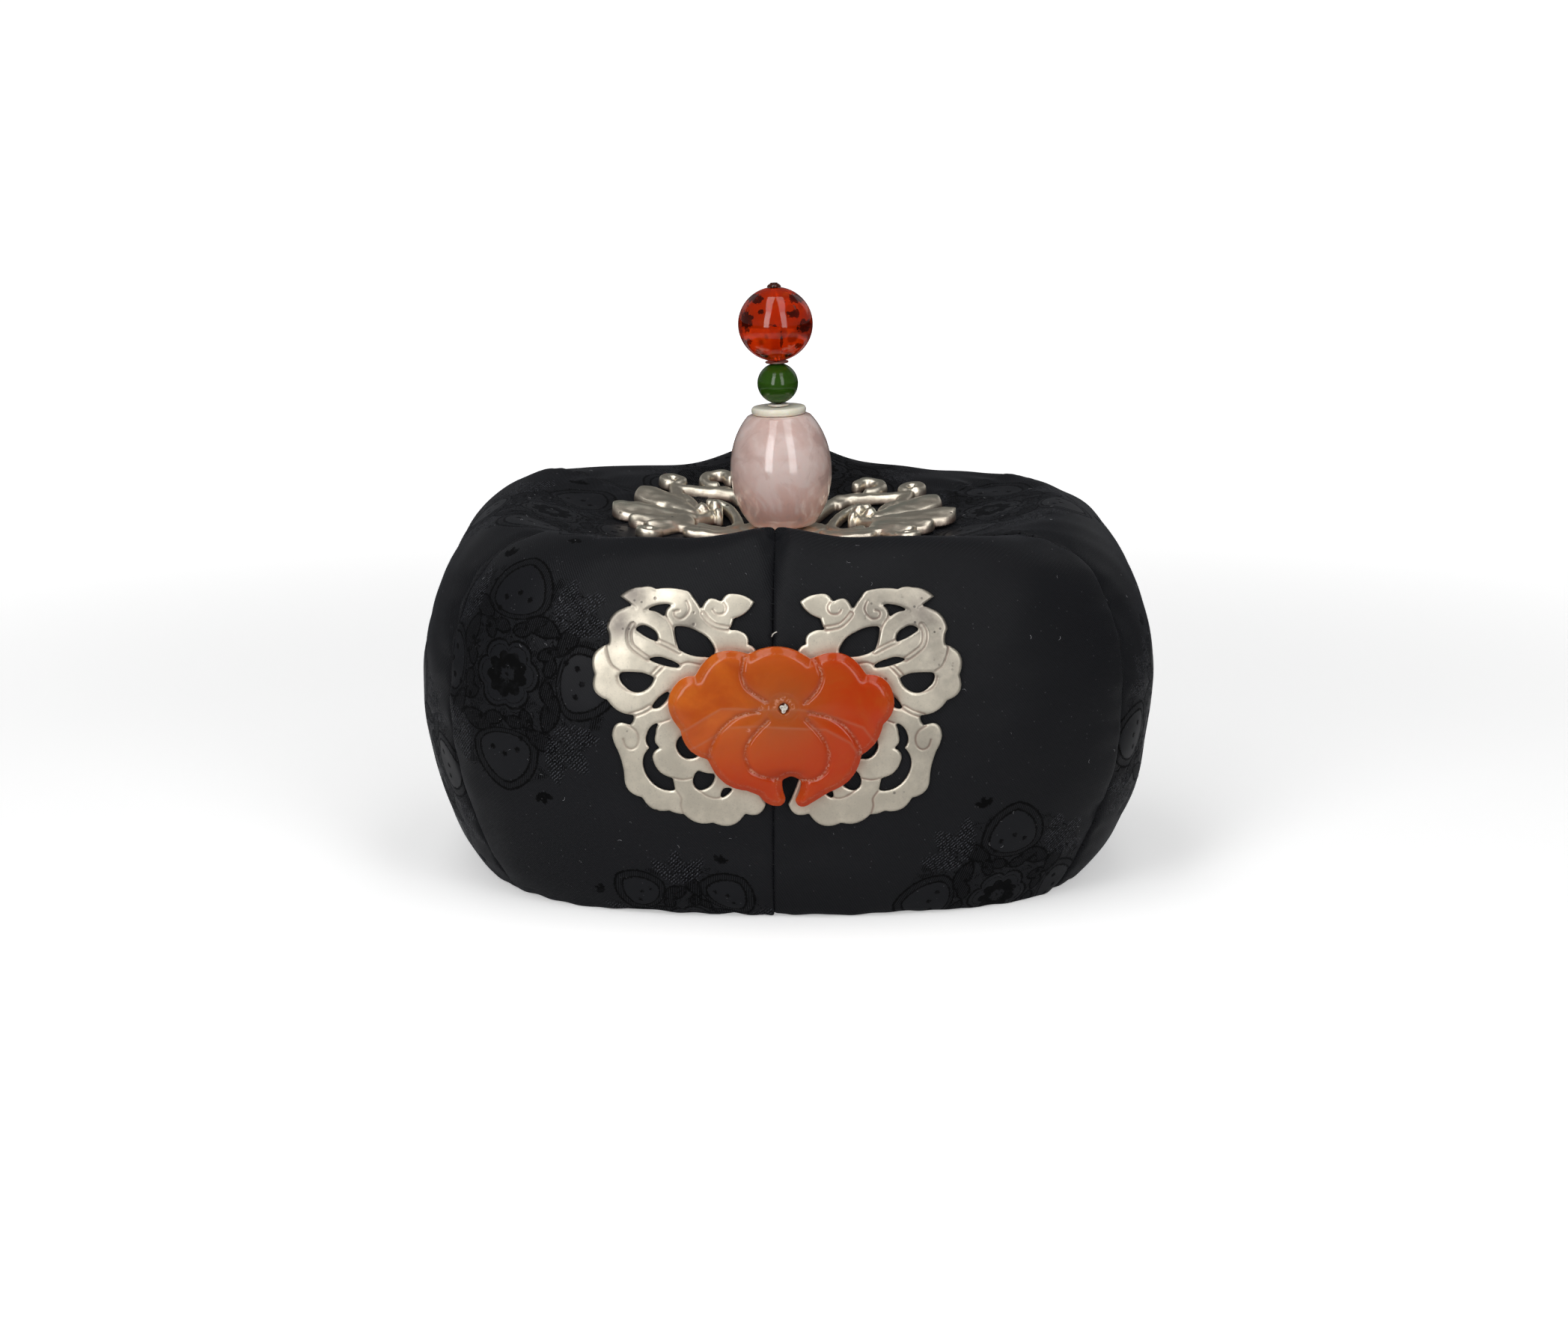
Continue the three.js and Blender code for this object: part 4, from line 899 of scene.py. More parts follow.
def use_group(graph, name, build, inputs):
    """Places a shared group in a material, built once. Returns its outputs."""
    tree = bpy.data.node_groups.get(name) or build()
    return graph.add("ShaderNodeGroup", inputs, node_tree=tree).outputs


def specks(graph, coordinates, scale, amount):
    return use_group(graph, "Specks", pits_group, {
        "Coordinates": coordinates, "Scale": scale, "Amount": amount,
    })["Mask"]


def damask_masks(graph, flat):
    """Where the silk's woven figure is, where its satin parts are, and where its speckled feathers are."""
    jagged = graph.scaled(graph.noise(flat, 2.6, 2.0), 0.9, -0.45)
    fields = {name: graph.math("ADD", graph.attribute(name), jagged) for name in FIGURES}

    def inside(name, soft=0.14):
        return graph.ramp(fields[name], -soft, soft, 1.0, 0.0)

    def near(value, at, low, high):
        apart = graph.math("ABSOLUTE", graph.math("SUBTRACT", value, at))
        return graph.ramp(apart, low, high, 1.0, 0.0)

    place = graph.parts(flat)
    slope = graph.scaled(place["Y"], 0.22, place["X"])
    hatch = graph.ramp(graph.math("SINE", graph.times(slope, math.tau / 0.46)), -0.4, 0.3)
    border = graph.times(inside("petals"), graph.ramp(fields["petals"], -1.7, -1.5))
    lines = graph.most(*(
        near(fields[name], at, half * 0.55, half * 1.45) for name, at, half in (
            ("rosette", 0.0, 0.28), ("petals", 0.0, 0.26), ("petals", -1.6, 0.24),
            ("leaves", 0.0, 0.22), ("rosette", -1.1, 0.1))))
    hatched = graph.times(graph.most(inside("leaves"), graph.times(border, 0.85)), hatch)
    curls = graph.noise(flat, 0.34, 1.0, 0.4, 1.4)
    vines = near(curls, 0.5, 0.006, 0.02)
    buds = graph.times(graph.ramp(curls, 0.57, 0.59), hatch)
    sprays = graph.times(graph.most(vines, buds), inside("roundel", 0.6))
    satin = graph.most(inside("petals"), inside("rosette"))
    free = graph.math("SUBTRACT", 1.0, satin)
    woven = graph.most(lines, inside("dots"), graph.times(hatched, 0.9), graph.times(sprays, free))
    worn = graph.noise(flat, 0.6, 3.0)
    figure = graph.times(woven, graph.ramp(worn, 0.25, 0.5, 0.7, 1.0))
    return figure, satin, inside("feathers", 0.4)


def silk_material():
    material, graph, shader = start_material("Black damask silk", {
        "Sheen Weight": 0.04, "Sheen Roughness": 0.35, "Sheen Tint": (0.7, 0.75, 0.9, 1),
        "Specular IOR Level": 0.1,
    })
    flat = graph.add("ShaderNodeUVMap", uv_map="Cloth").outputs["UV"]
    ground = use_group(graph, "Twill", twill_group, {"Coordinates": flat, "Pitch": 0.44, "Angle": -0.95})
    coarse = use_group(graph, "Twill", twill_group, {"Coordinates": flat, "Pitch": 0.58, "Angle": 0.75})
    figure, satin, feathers = damask_masks(graph, flat)
    speckle = graph.noise(flat, 2.3, 2.0, 0.7)
    raised_spots = graph.times(graph.ramp(coarse["Height"], 0.45, 0.8), graph.ramp(speckle, 0.42, 0.58))
    # painted highlights: glints on the feathers' raised threads
    glints = graph.times(feathers, raised_spots)
    base = settings().silk_colour
    darker = colour(base, 0.12)
    rough = graph.scaled(glints, -0.15, graph.scaled(satin, -0.08, 0.45))
    threads = graph.times(ground["Height"], graph.scaled(satin, -0.7, 1.0))
    raised = graph.scaled(glints, 1.4, graph.scaled(figure, -0.9, threads))
    graph.fill(shader, {
        "Base Color": graph.over(
            colour(base, 0.85),
            (graph.ramp(graph.noise(flat, 0.035, 3.0), 0.3, 0.7), 1, colour(base)),
            # painted sheen: the twill's raised threads are coloured lighter
            (ground["Height"], 0.7, colour(base, 1.9)),
            # painted sheen: the figure's satin parts are coloured lighter than the ground
            (satin, 0.7, colour(base, 1.6)),
            (figure, 1, darker),
            (feathers, 0.65, darker),
            # painted highlights: the glints are coloured eight times lighter
            (glints, 1, colour(base, 8.0)),
            (specks(graph, flat, 1.6, 0.04), 0.2, (0.2, 0.2, 0.21, 1)),
        ),
        "Roughness": graph.scaled(figure, 0.4, rough),
        "Normal": graph.bump(raised, 0.7, 0.06 * MM),
    })
    return material


def silver_material(name, roughness, plate=False, relief=0.0, painted_light_gain=1.0):
    """Worn silver. A front plate's also has the stone's orange glow painted on as light, tarnished patches
    and a smoother upper part.
    """
    material, graph, shader = start_material(name, {"Metallic": 1.0})
    place = graph.place()
    wear = use_group(graph, "Recess grime", wear_group, {
        "Coordinates": place, "Recess": graph.attribute("recess"), "Scale": 160.0,
    })
    scratches = use_group(graph, "Scratches", scratch_group, {"Coordinates": place, "Angle": 0.8})
    pits = specks(graph, place, 520.0, 0.06)
    # painted light: the silver colour times a gain, which makes a piece's silver lighter than it is
    base = [channel * painted_light_gain for channel in settings().silver_colour]
    grain = graph.noise(place, 2600.0, 2.0, 0.7)
    shade = graph.over(
        colour(base),
        (graph.ramp(wear["Cloud"], 0.35, 0.65), 1, colour(base, 0.8)),
        (wear["Grime"], 1, colour(settings().tarnish_colour)),
        (pits, 0.7, (0.12, 0.1, 0.09, 1)),
        (graph.ramp(grain, 0.55, 0.75, 0.0, 0.3), 1, (0.3, 0.27, 0.23, 1)),
    )
    rough = graph.scaled(wear["Cloud"], 0.2, roughness - 0.1)
    rough = graph.scaled(wear["Grime"], 0.25, rough)
    if plate:
        patch = graph.attribute("patch")
        many = graph.times(specks(graph, place, 800.0, 0.3), graph.ramp(patch, 0.3, 0.8))
        shade = graph.over(
            shade,
            (many, 1, (0.03, 0.028, 0.028, 1)),
            (graph.times(patch, graph.ramp(wear["Cloud"], 0.3, 0.6, 0.6, 1.0)), 1, (0.17, 0.15, 0.135, 1)),
            # painted light: the orange glow that the stone casts on the silver beside it
            (graph.attribute("glow"), 1, (0.5, 0.11, 0.035, 1)),
        )
        rough = graph.scaled(graph.attribute("bright"), -0.08, rough)
    fine = graph.bump(scratches["Height"], 0.25, 0.03 * MM)
    hammered = graph.bump(graph.noise(place, 900.0, 3.0), 0.3, (0.03 + relief) * MM, fine)
    graph.fill(shader, {
        "Base Color": shade, "Roughness": rough,
        "Normal": graph.bump(graph.times(pits, -1.0), 0.6, 0.06 * MM, hammered),
    })
    return material


def carnelian_material():
    material, graph, shader = start_material("Carved carnelian", {
        "Subsurface Weight": 0.45, "Subsurface Radius": (1.0, 0.25, 0.06), "Subsurface Scale": 2.5 * MM,
        "Specular IOR Level": 0.15, "Coat Weight": 0.32, "Coat Roughness": 0.05,
    })
    place = graph.place()
    split = graph.parts(place)
    cloud = graph.noise(place, 70.0, 5.0, 0.6, 0.6)
    grain = graph.noise(place, 2200.0, 2.0)
    grainy_frost_and_rim_highlight = graph.times(graph.attribute("frost_and_rim_highlight"), graph.ramp(grain, 0.4, 0.6), clamp=True)
    graph.fill(shader, {
        "Base Color": graph.over(
            (0.62, 0.15, 0.018, 1),
            (graph.ramp(split["X"], -0.02, 0.016), 1, (0.46, 0.04, 0.004, 1)),
            (graph.ramp(split["Z"], 0.028, 0.05, 1.0, 0.0), 1, (0.43, 0.036, 0.003, 1)),
            (graph.ramp(cloud, 0.4, 0.75), 1, colour(settings().stone_colour)),
            (graph.attribute("brown"), 0.6, (0.3, 0.085, 0.022, 1)),
            (graph.attribute("facet"), 0.3, (0.42, 0.2, 0.12, 1)),
            (graph.attribute("shaded"), 0.55, (0.25, 0.02, 0.002, 1)),
            # pale frost in the carving, and a painted highlight along the rim
            (grainy_frost_and_rim_highlight, 0.55, (0.82, 0.45, 0.3, 1)),
        ),
        "Roughness": graph.scaled(grainy_frost_and_rim_highlight, 0.4, 0.16),
        "Normal": graph.bump(graph.noise(place, 420.0, 4.0), 0.12, 0.1 * MM),
    })
    return material


def quartz_material():
    material, graph, shader = start_material("Cloudy rose quartz", {
        "Roughness": 0.14, "Subsurface Weight": 0.4, "Subsurface Radius": (1.0, 0.6, 0.5),
        "Subsurface Scale": 2 * MM, "Coat Weight": 0.5, "Coat Roughness": 0.05,
    })
    place = graph.place()
    height = graph.parts(place)["Z"]
    cloud = graph.noise(place, 62.0, 5.0, 0.55, 1.6)
    veins = graph.noise(place, 130.0, 4.0, 0.6, 2.5)
    graph.fill(shader, {
        "Base Color": graph.over(
            (0.74, 0.44, 0.37, 1),
            (graph.ramp(height, 0.074, 0.088), 1, colour(settings().quartz_colour)),
            # painted shade: the bead's top is coloured darker
            (graph.ramp(height, 0.086, 0.097, 0.0, 0.5), 1, (0.6, 0.41, 0.36, 1)),
            (graph.ramp(cloud, 0.38, 0.5, 0.85, 0.0), 1, (0.6, 0.4, 0.36, 1)),
            (graph.ramp(cloud, 0.5, 0.62, 0.0, 0.45), 1, (0.9, 0.77, 0.73, 1)),
            (graph.ramp(veins, 0.55, 0.7, 0.0, 0.3), 1, (0.55, 0.34, 0.29, 1)),
        ),
        "Normal": graph.bump(cloud, 0.03, 0.1 * MM),
    })
    return material


def polished_material(name):
    """Jade, ivory and the like: a polished, slightly clear, clouded solid."""
    base, radius, scale, roughness, darker, cloud_scale = POLISHED[name]
    material, graph, shader = start_material(name, {
        "Roughness": roughness, "Subsurface Weight": 0.35, "Subsurface Radius": radius,
        "Subsurface Scale": scale * MM, "Specular IOR Level": 0.35, "Coat Weight": 0.15,
        "Coat Roughness": 0.04,
    })
    place = graph.place()
    cloud = graph.noise(place, cloud_scale, 6.0, 0.6, 0.8)
    shade = graph.mix(graph.ramp(cloud, 0.35, 0.7), colour(base or settings().jade_colour), colour(darker))
    fine = graph.noise(place, 700.0, 3.0)
    graph.fill(shader, {"Base Color": shade, "Normal": graph.bump(fine, 0.05, 0.05 * MM)})
    return material


def amber_material():
    material, graph, shader = start_material("Clear amber", {
        "Roughness": 0.03, "IOR": 1.54, "Specular IOR Level": 0.28, "Transmission Weight": 0.6,
    })
    place = graph.place()
    cloud = graph.noise(place, 260.0, 5.0, 0.6, 0.7)
    ragged = graph.scaled(graph.noise(place, 900.0, 4.0, 0.65), 1.9, -0.95)
    patch = graph.ramp(graph.math("ADD", graph.attribute("patch"), ragged), 0.42, 0.62)
    graph.fill(shader, {
        "Base Color": graph.over(
            colour(settings().amber_colour),
            (graph.ramp(cloud, 0.5, 0.75), 1, (0.95, 0.09, 0.003, 1)),
            (patch, 0.9, (0.035, 0.003, 0.001, 1)),
        ),
        "Normal": graph.bump(cloud, 0.04, 0.1 * MM),
    })
    return material


def flake_material():
    material, graph, shader = start_material("Brown flakes", {"Roughness": 0.35})
    cloud = graph.noise(graph.place(), 900.0, 4.0)
    graph.fill(shader, {
        "Base Color": graph.mix(cloud, (0.03, 0.003, 0.001, 1), (0.16, 0.012, 0.002, 1)),
        "Normal": graph.bump(cloud, 0.4, 0.05 * MM),
    })
    return material


def thread_material(name, base, pitch):
    """Spun thread, its strands a pitch apart, in metres."""
    material, graph, shader = start_material(name, {"Roughness": 0.75, "Specular IOR Level": 0.2})
    strands = graph.add("ShaderNodeTexWave", {
        "Vector": graph.place(), "Scale": 1 / pitch, "Distortion": 2.0, "Detail": 3.0, "Detail Scale": 2.0,
    }, bands_direction="DIAGONAL").outputs["Fac"]
    graph.fill(shader, {
        "Base Color": graph.mix(strands, colour(base, 0.6), colour(base)),
        "Normal": graph.bump(strands, 0.5, 0.05 * MM),
    })
    return material


def floor_material():
    """A pale floor that glows for the camera alone, and far out looks dark to the coronet."""
    material, graph, shader = start_material("Pale studio floor", {
        "Emission Strength": 1.0, "Roughness": 0.9, "Specular IOR Level": 0.0,
    })
    place = graph.place()
    away = graph.add("ShaderNodeVectorMath", {0: place}, operation="LENGTH").outputs["Value"]
    rays = graph.add("ShaderNodeLightPath").outputs
    seen = rays["Is Camera Ray"]
    bounced = graph.times(graph.ramp(away, 0.2, 0.36), graph.math("SUBTRACT", 1.0, seen))
    mirrored = graph.math("MAXIMUM", bounced, graph.times(rays["Is Glossy Ray"], 0.26))
    pale = graph.mix(graph.noise(place, 900.0, 3.0), (0.9, 0.9, 0.9, 1), (0.94, 0.94, 0.94, 1))
    glow = graph.mix(graph.ramp(away, 0.2, 0.75), (0.42, 0.42, 0.42, 1), (1, 1, 1, 1))
    graph.fill(shader, {
        "Base Color": graph.mix(mirrored, pale, (0.08, 0.08, 0.08, 1)),
        "Emission Color": graph.mix(seen, (0, 0, 0, 1), glow),
    })
    return material


# The damask's figures, as signed distances in millimetres on the flat cloth, below 0 inside a figure


def leaf_distance(flat, middle, length, width, degrees):
    """A leaf with two pointed ends."""
    local = turned(flat - np.array(middle), degrees)
    radius = (length**2 + width**2) / (4 * width)
    offset = radius - width / 2
    return np.hypot(local[:, 0], np.abs(local[:, 1]) + offset) - radius


def scalloped_distance(flat, radius, lobes, depth):
    """A round flower with a scalloped edge, about the middle."""
    angle = np.arctan2(flat[:, 1], flat[:, 0])
    edge = radius * (1 - depth + depth * np.sqrt(np.abs(np.cos(angle * lobes / 2))))
    return np.hypot(flat[:, 0], flat[:, 1]) - edge


def petal_distance(flat, out, half, tip, foot):
    """A broad petal that points outwards along x, its widest spot this far out."""
    local = flat - np.array([out, 0])
    pointed = leaf_distance(local, (0, 0), 2 * tip, 2 * half, 0)
    rounded = np.hypot(local[:, 0] * half / foot, local[:, 1]) - half
    return np.where(local[:, 0] > 0, pointed, rounded)


def dot_distance(flat, middle, radius):
    return np.hypot(flat[:, 0] - middle[0], flat[:, 1] - middle[1]) - radius


def roundel_fields(flat):
    """The figures of one roundel of 22 mm radius about the middle: a peony, leaves, petals and feathers."""
    reach = np.hypot(flat[:, 0], flat[:, 1])
    rosette = scalloped_distance(flat, 6.8, 6, 0.24)
    crinkled = scalloped_distance(turned(flat, 14), 4.5, 9, 0.36)
    dots = np.minimum(np.maximum(crinkled, 1.7 - reach), reach - 0.4)
    dots = np.minimum(dots, np.abs(reach - 1.3) - 0.14)
    petals = np.full(len(flat), 99.0)
    leaves = petals.copy()
    feathers = petals.copy()
    for index in range(4):
        outward = turned(flat, 90 * index + 90)
        petals = np.minimum(petals, petal_distance(outward, 14.2, 7.0, 8.6, 3.8))
        for middle in ((14.2, -2.7), (15.4, 0.1), (14.3, 2.6), (11.9, -3.6), (8.9, 5.4), (8.4, -5.2)):
            dots = np.minimum(dots, dot_distance(outward, middle, 0.6))
        between = turned(flat, 90 * index + 45)
        for local, *leaf in (
                (outward, (8.6, 2.4), 4.4, 2.7, 80), (outward, (8.9, -2.2), 4.0, 2.5, -75),
                (between, (11.4, -2.2), 7.6, 3.6, 62), (between, (13.8, 3.0), 7.0, 3.4, -18),
                (between, (9.0, 2.4), 4.4, 2.4, 20)):
            leaves = np.minimum(leaves, leaf_distance(local, *leaf))
        serrated = 0.6 * np.abs(np.sin(between[:, 0] * 1.7 + between[:, 1]))
        for middle, length, degrees in (((18.2, 3.4), 11.5, 41.6), ((17.6, -3.4), 10.5, -38.4),
                                        ((20.5, 0.0), 8.0, 3.2)):
            feather = leaf_distance(between, middle, length, 4.6, degrees)
            feathers = np.minimum(feathers, feather + serrated)
        sprig = turned(flat, 90 * index + 72) - np.array([23.5, 0])
        for spread in (-50, 0, 50):
            dots = np.minimum(dots, leaf_distance(turned(sprig, spread), (1.2, 0), 2.8, 1.3, 0))
    return dict(zip(FIGURES, (rosette, petals, leaves, feathers, dots, reach - 21.0)))


def damask_fields(flat, roundels):
    fields = {name: np.full(len(flat), 9.0) for name in FIGURES}
    for across, down, radius, turn in roundels:
        scale = 22 / radius
        local = turned((flat - np.array([across, down])) * scale, turn)
        for name, distance in roundel_fields(local).items():
            fields[name] = np.minimum(fields[name], distance / scale)
    return fields


# Geometry Nodes


def start_geometry(name, inputs):
    sockets = {"Geometry": "Geometry", **inputs}
    return start_tree("GeometryNodeTree", name, sockets, {"Geometry": "Geometry"})


def grow(piece, tree, values):
    """Runs a Geometry Nodes tree on a piece with the given input values, and keeps its result as a mesh."""
    modifier = piece.modifiers.new(tree.name, "NODES")
    modifier.node_group = tree
    for item in tree.interface.items_tree:
        if item.in_out == "INPUT" and item.name in values:
            modifier[item.identifier] = values[item.name]
    plain_mesh(piece)
    for polygon in piece.data.polygons:
        polygon.use_smooth = True


def bent_tube(graph, half, middle, thickness, steps, sides):
    """A short closed tube from -half to half along x, bowed towards a point."""
    line = graph.add("GeometryNodeCurveQuadraticBezier", {
        "Resolution": steps, "Start": graph.combined(x=graph.times(half, -1.0)), "Middle": middle,
        "End": graph.combined(x=half),
    }).outputs["Curve"]
    ring = graph.add("GeometryNodeCurvePrimitiveCircle", {
        "Resolution": sides, "Radius": graph.times(thickness, 0.5),
    }).outputs["Curve"]
    return graph.add("GeometryNodeCurveToMesh", {
        "Curve": line, "Profile Curve": ring, "Fill Caps": True,
    }).outputs["Mesh"]


def turned_at_random(graph, rotation, low, high, seed):
    """A rotation with a random turn of its own, between two limits, added to it."""
    turn = graph.add("FunctionNodeEulerToRotation", {0: random_value(graph, "FLOAT_VECTOR", low, high, seed)})
    return graph.add("FunctionNodeRotateRotation", {
        "Rotation": rotation, "Rotate By": turn.outputs[0],
    }, rotation_space="LOCAL").outputs[0]


def place_copies(graph, out, points, copy, rotation, scale, material):
    """Sets a copy at each point, and ends the tree with them as plain geometry in one material."""
    placed = graph.add("GeometryNodeInstanceOnPoints", {
        "Points": points, "Instance": copy, "Rotation": rotation, "Scale": scale,
    }).outputs["Instances"]
    real = graph.add("GeometryNodeRealizeInstances", {"Geometry": placed}).outputs["Geometry"]
    made = graph.add("GeometryNodeSetMaterial", {"Geometry": real, "Material": material}).outputs["Geometry"]
    graph.set(out["Geometry"], made)


def random_value(graph, kind, low, high, seed):
    node = graph.add("FunctionNodeRandomValue", data_type=kind)
    bounds = [socket for socket in node.inputs if socket.name in ("Min", "Max") and socket.enabled]
    bounds[0].default_value = low
    bounds[1].default_value = high
    graph.set(node.inputs["Seed"], seed)
    return next(socket for socket in node.outputs if socket.enabled)


def stitches_tree():
    """Short stitches laid across a seam, an even pitch apart along it."""
    tree, graph, given, out = start_geometry("Seam stitches", {
        "Pitch": 3 * MM, "Length": 1.4 * MM, "Thickness": 0.22 * MM, "Seed": 3, "Thread": "Material"})
    seam = graph.add("GeometryNodeMeshToCurve", {"Mesh": given["Geometry"]}).outputs["Curve"]
    spaced = graph.add("GeometryNodeResampleCurve", {"Curve": seam, "Length": given["Pitch"]}, mode="LENGTH")
    bow = graph.combined(z=graph.times(given["Thickness"], 0.9))
    stitch = bent_tube(graph, graph.times(given["Length"], 0.5), bow, given["Thickness"], 5, 6)
    along = graph.add("GeometryNodeInputTangent").outputs[0]
    outward = graph.add("GeometryNodeInputNamedAttribute", {"Name": "outward"}, data_type="FLOAT_VECTOR")
    facing = graph.add("FunctionNodeAlignRotationToVector", {
        "Vector": next(socket for socket in outward.outputs if socket.enabled and socket.name == "Attribute"),
    }, axis="Z").outputs[0]
    facing = graph.add("FunctionNodeAlignRotationToVector", {"Rotation": facing, "Vector": along},
                       axis="Y", pivot_axis="Z").outputs[0]
    turn = turned_at_random(graph, facing, (0, 0, -0.5), (0, 0, 0.1), given["Seed"])
    place_copies(graph, out, spaced.outputs["Curve"], stitch, turn, (1, 1, 1), given["Thread"])
    return tree


def lint_tree():
    """Short bent fibres that lie on cloth, scattered at a density per square metre."""
    tree, graph, given, out = start_geometry("Lint", {
        "Density": 7000.0, "Length": 0.7 * MM, "Thickness": 0.06 * MM, "Seed": 5, "Lowest": 4 * MM,
        "Inside": 54 * MM, "Top": 66 * MM, "Fibre": "Material"})
    spot = graph.add("GeometryNodeInputPosition").outputs[0]
    height = graph.parts(spot)["Z"]
    level = graph.vector("MULTIPLY", spot, (1, 1, 0))
    reach = graph.add("ShaderNodeVectorMath", {0: level}, operation="LENGTH").outputs["Value"]
    on_side = graph.math("GREATER_THAN", reach, given["Inside"])
    on_top = graph.math("GREATER_THAN", height, given["Top"])
    high = graph.math("GREATER_THAN", height, given["Lowest"])
    scattered = graph.add("GeometryNodeDistributePointsOnFaces", {
        "Mesh": given["Geometry"], "Selection": graph.times(high, graph.math("MAXIMUM", on_side, on_top)),
        "Density": given["Density"], "Seed": given["Seed"],
    }).outputs
    half = graph.times(given["Length"], 0.5)
    fibre = bent_tube(graph, half, graph.combined(y=half, z=given["Thickness"]), given["Thickness"], 4, 3)
    turn = turned_at_random(graph, scattered["Rotation"], (0, 0, 0), (0, 0, math.tau), given["Seed"])
    size = random_value(graph, "FLOAT", 0.25, 1.3, given["Seed"])
    place_copies(graph, out, scattered["Points"], fibre, turn, size, given["Fibre"])
    return tree


def flakes_tree():
    """Thin crumpled flakes hung inside a round bead, more of them towards its skin."""
    tree, graph, given, out = start_geometry("Amber flakes", {
        "Middle": "Vector", "Density": 110000.0, "Size": 1.7 * MM, "Crumple": 1.1 * MM, "Seed": 8,
        "Flake": "Material"})
    scattered = graph.add("GeometryNodeDistributePointsOnFaces", {
        "Mesh": given["Geometry"], "Density": given["Density"], "Seed": given["Seed"],
    }).outputs
    spot = graph.add("GeometryNodeInputPosition").outputs[0]
    depth = random_value(graph, "FLOAT", 0.7, 0.98, given["Seed"])
    sunk = graph.add("GeometryNodeSetPosition", {
        "Geometry": scattered["Points"],
        "Position": graph.vector("ADD", graph.resized(graph.vector("SUBTRACT", spot, given["Middle"]), depth),
                                 given["Middle"]),
    }).outputs["Geometry"]
    ball = graph.add("GeometryNodeMeshIcoSphere", {
        "Radius": given["Size"], "Subdivisions": 3,
    }).outputs["Mesh"]
    rough = graph.add("ShaderNodeTexNoise", {"Vector": spot, "Scale": 1900.0, "Detail": 2.0}).outputs["Color"]
    pushed = graph.resized(graph.vector("SUBTRACT", rough, (0.5, 0.5, 0.5)), given["Crumple"])
    crumpled = graph.add("GeometryNodeSetPosition", {"Geometry": ball, "Offset": pushed}).outputs["Geometry"]
    flat = graph.add("GeometryNodeTransform", {
        "Geometry": crumpled, "Scale": (1, 0.7, 0.12),
    }).outputs["Geometry"]
    turn = turned_at_random(
        graph, scattered["Rotation"], (-0.7, -0.7, 0), (0.7, 0.7, math.tau), given["Seed"])
    size = random_value(graph, "FLOAT", 0.15, 1.0, given["Seed"])
    place_copies(graph, out, sunk, flat, turn, size, given["Flake"])
    return tree


# Silk panels


def row_places(length):
    """Levels of the section table that lie about a length apart: fine outside, coarse on the lining."""
    fine = np.linspace(0, len(LEVELS) - 1, 1200)
    points = wall(fine, np.full(fine.shape, 30.0))
    along = lengths_along(points)
    hem = np.interp(HEM, fine, along)
    outside = np.linspace(0, hem, round(hem / length) + 1)
    lining = np.linspace(hem, along[-1], 36)[1:]
    return np.interp(np.concatenate([outside, lining]), along, fine)


def grid_normals(points):
    normals = np.cross(np.gradient(points, axis=1), np.gradient(points, axis=0))
    return normals / np.maximum(np.linalg.norm(normals, axis=-1, keepdims=True), 1e-9)


def beside_seam(distance, start, reach):
    """How much of a fold stands at a distance from its seam: none at the seam, most beside it."""
    return np.exp(-distance / reach) * (1 - np.exp(-distance / start))


def cloth_grid(points):
    """A panel's cloth coordinates: how far across from its middle line, and how far down it."""
    middle = (len(points) - 1) // 2
    steps = np.linalg.norm(np.diff(points, axis=0), axis=2)
    across = np.concatenate([np.zeros((1, points.shape[1])), np.cumsum(steps, axis=0)])
    down = np.broadcast_to(lengths_along(points[middle]), across.shape)
    return np.stack([across - across[middle], down], -1)


def folds_over(index, places, cloth, from_seam):
    """How far a panel's folds, puckers and waves raise it over its taut wall."""
    down = cloth[0, :, 1]
    below_rim = (down - down[int(np.searchsorted(places, RIM))]) / RIM_NOTCH_LENGTH
    notch = np.where(below_rim > -0.3, np.exp(-np.abs(below_rim)), 0)
    raised = np.zeros(cloth.shape[:2])
    for seam, distance in from_seam.items():
        draw = np.random.default_rng(SEAM_SEED + seam)
        pucker = settings().pucker / MM * beside_seam(distance, PUCKER_START, PUCKER_REACH)
        fold = FOLD_HEIGHT * beside_seam(distance, FOLD_START, FOLD_REACH)
        raised += SEAM_PUCKERS[seam] * (
            pucker * ripples(down, draw, 5, *PUCKER_LENGTHS) + fold * ripples(down, draw, 3, *FOLD_LENGTHS))
        raised -= SEAM_VALLEYS[seam] * np.exp(-distance / VALLEY_REACH)
        raised -= notch * RIM_NOTCHES[seam] * bell(distance, RIM_NOTCH_WIDTH)
    flat = cloth.reshape(-1, 2)
    for height, wave, seed, along_hem in CLOTH_WAVES:
        gathered = bell(places - HEM + 0.6, 1.1)[None, :] if along_hem else 1
        raised += height * waves(flat, wave, seed + index).reshape(raised.shape) * gathered
    return raised


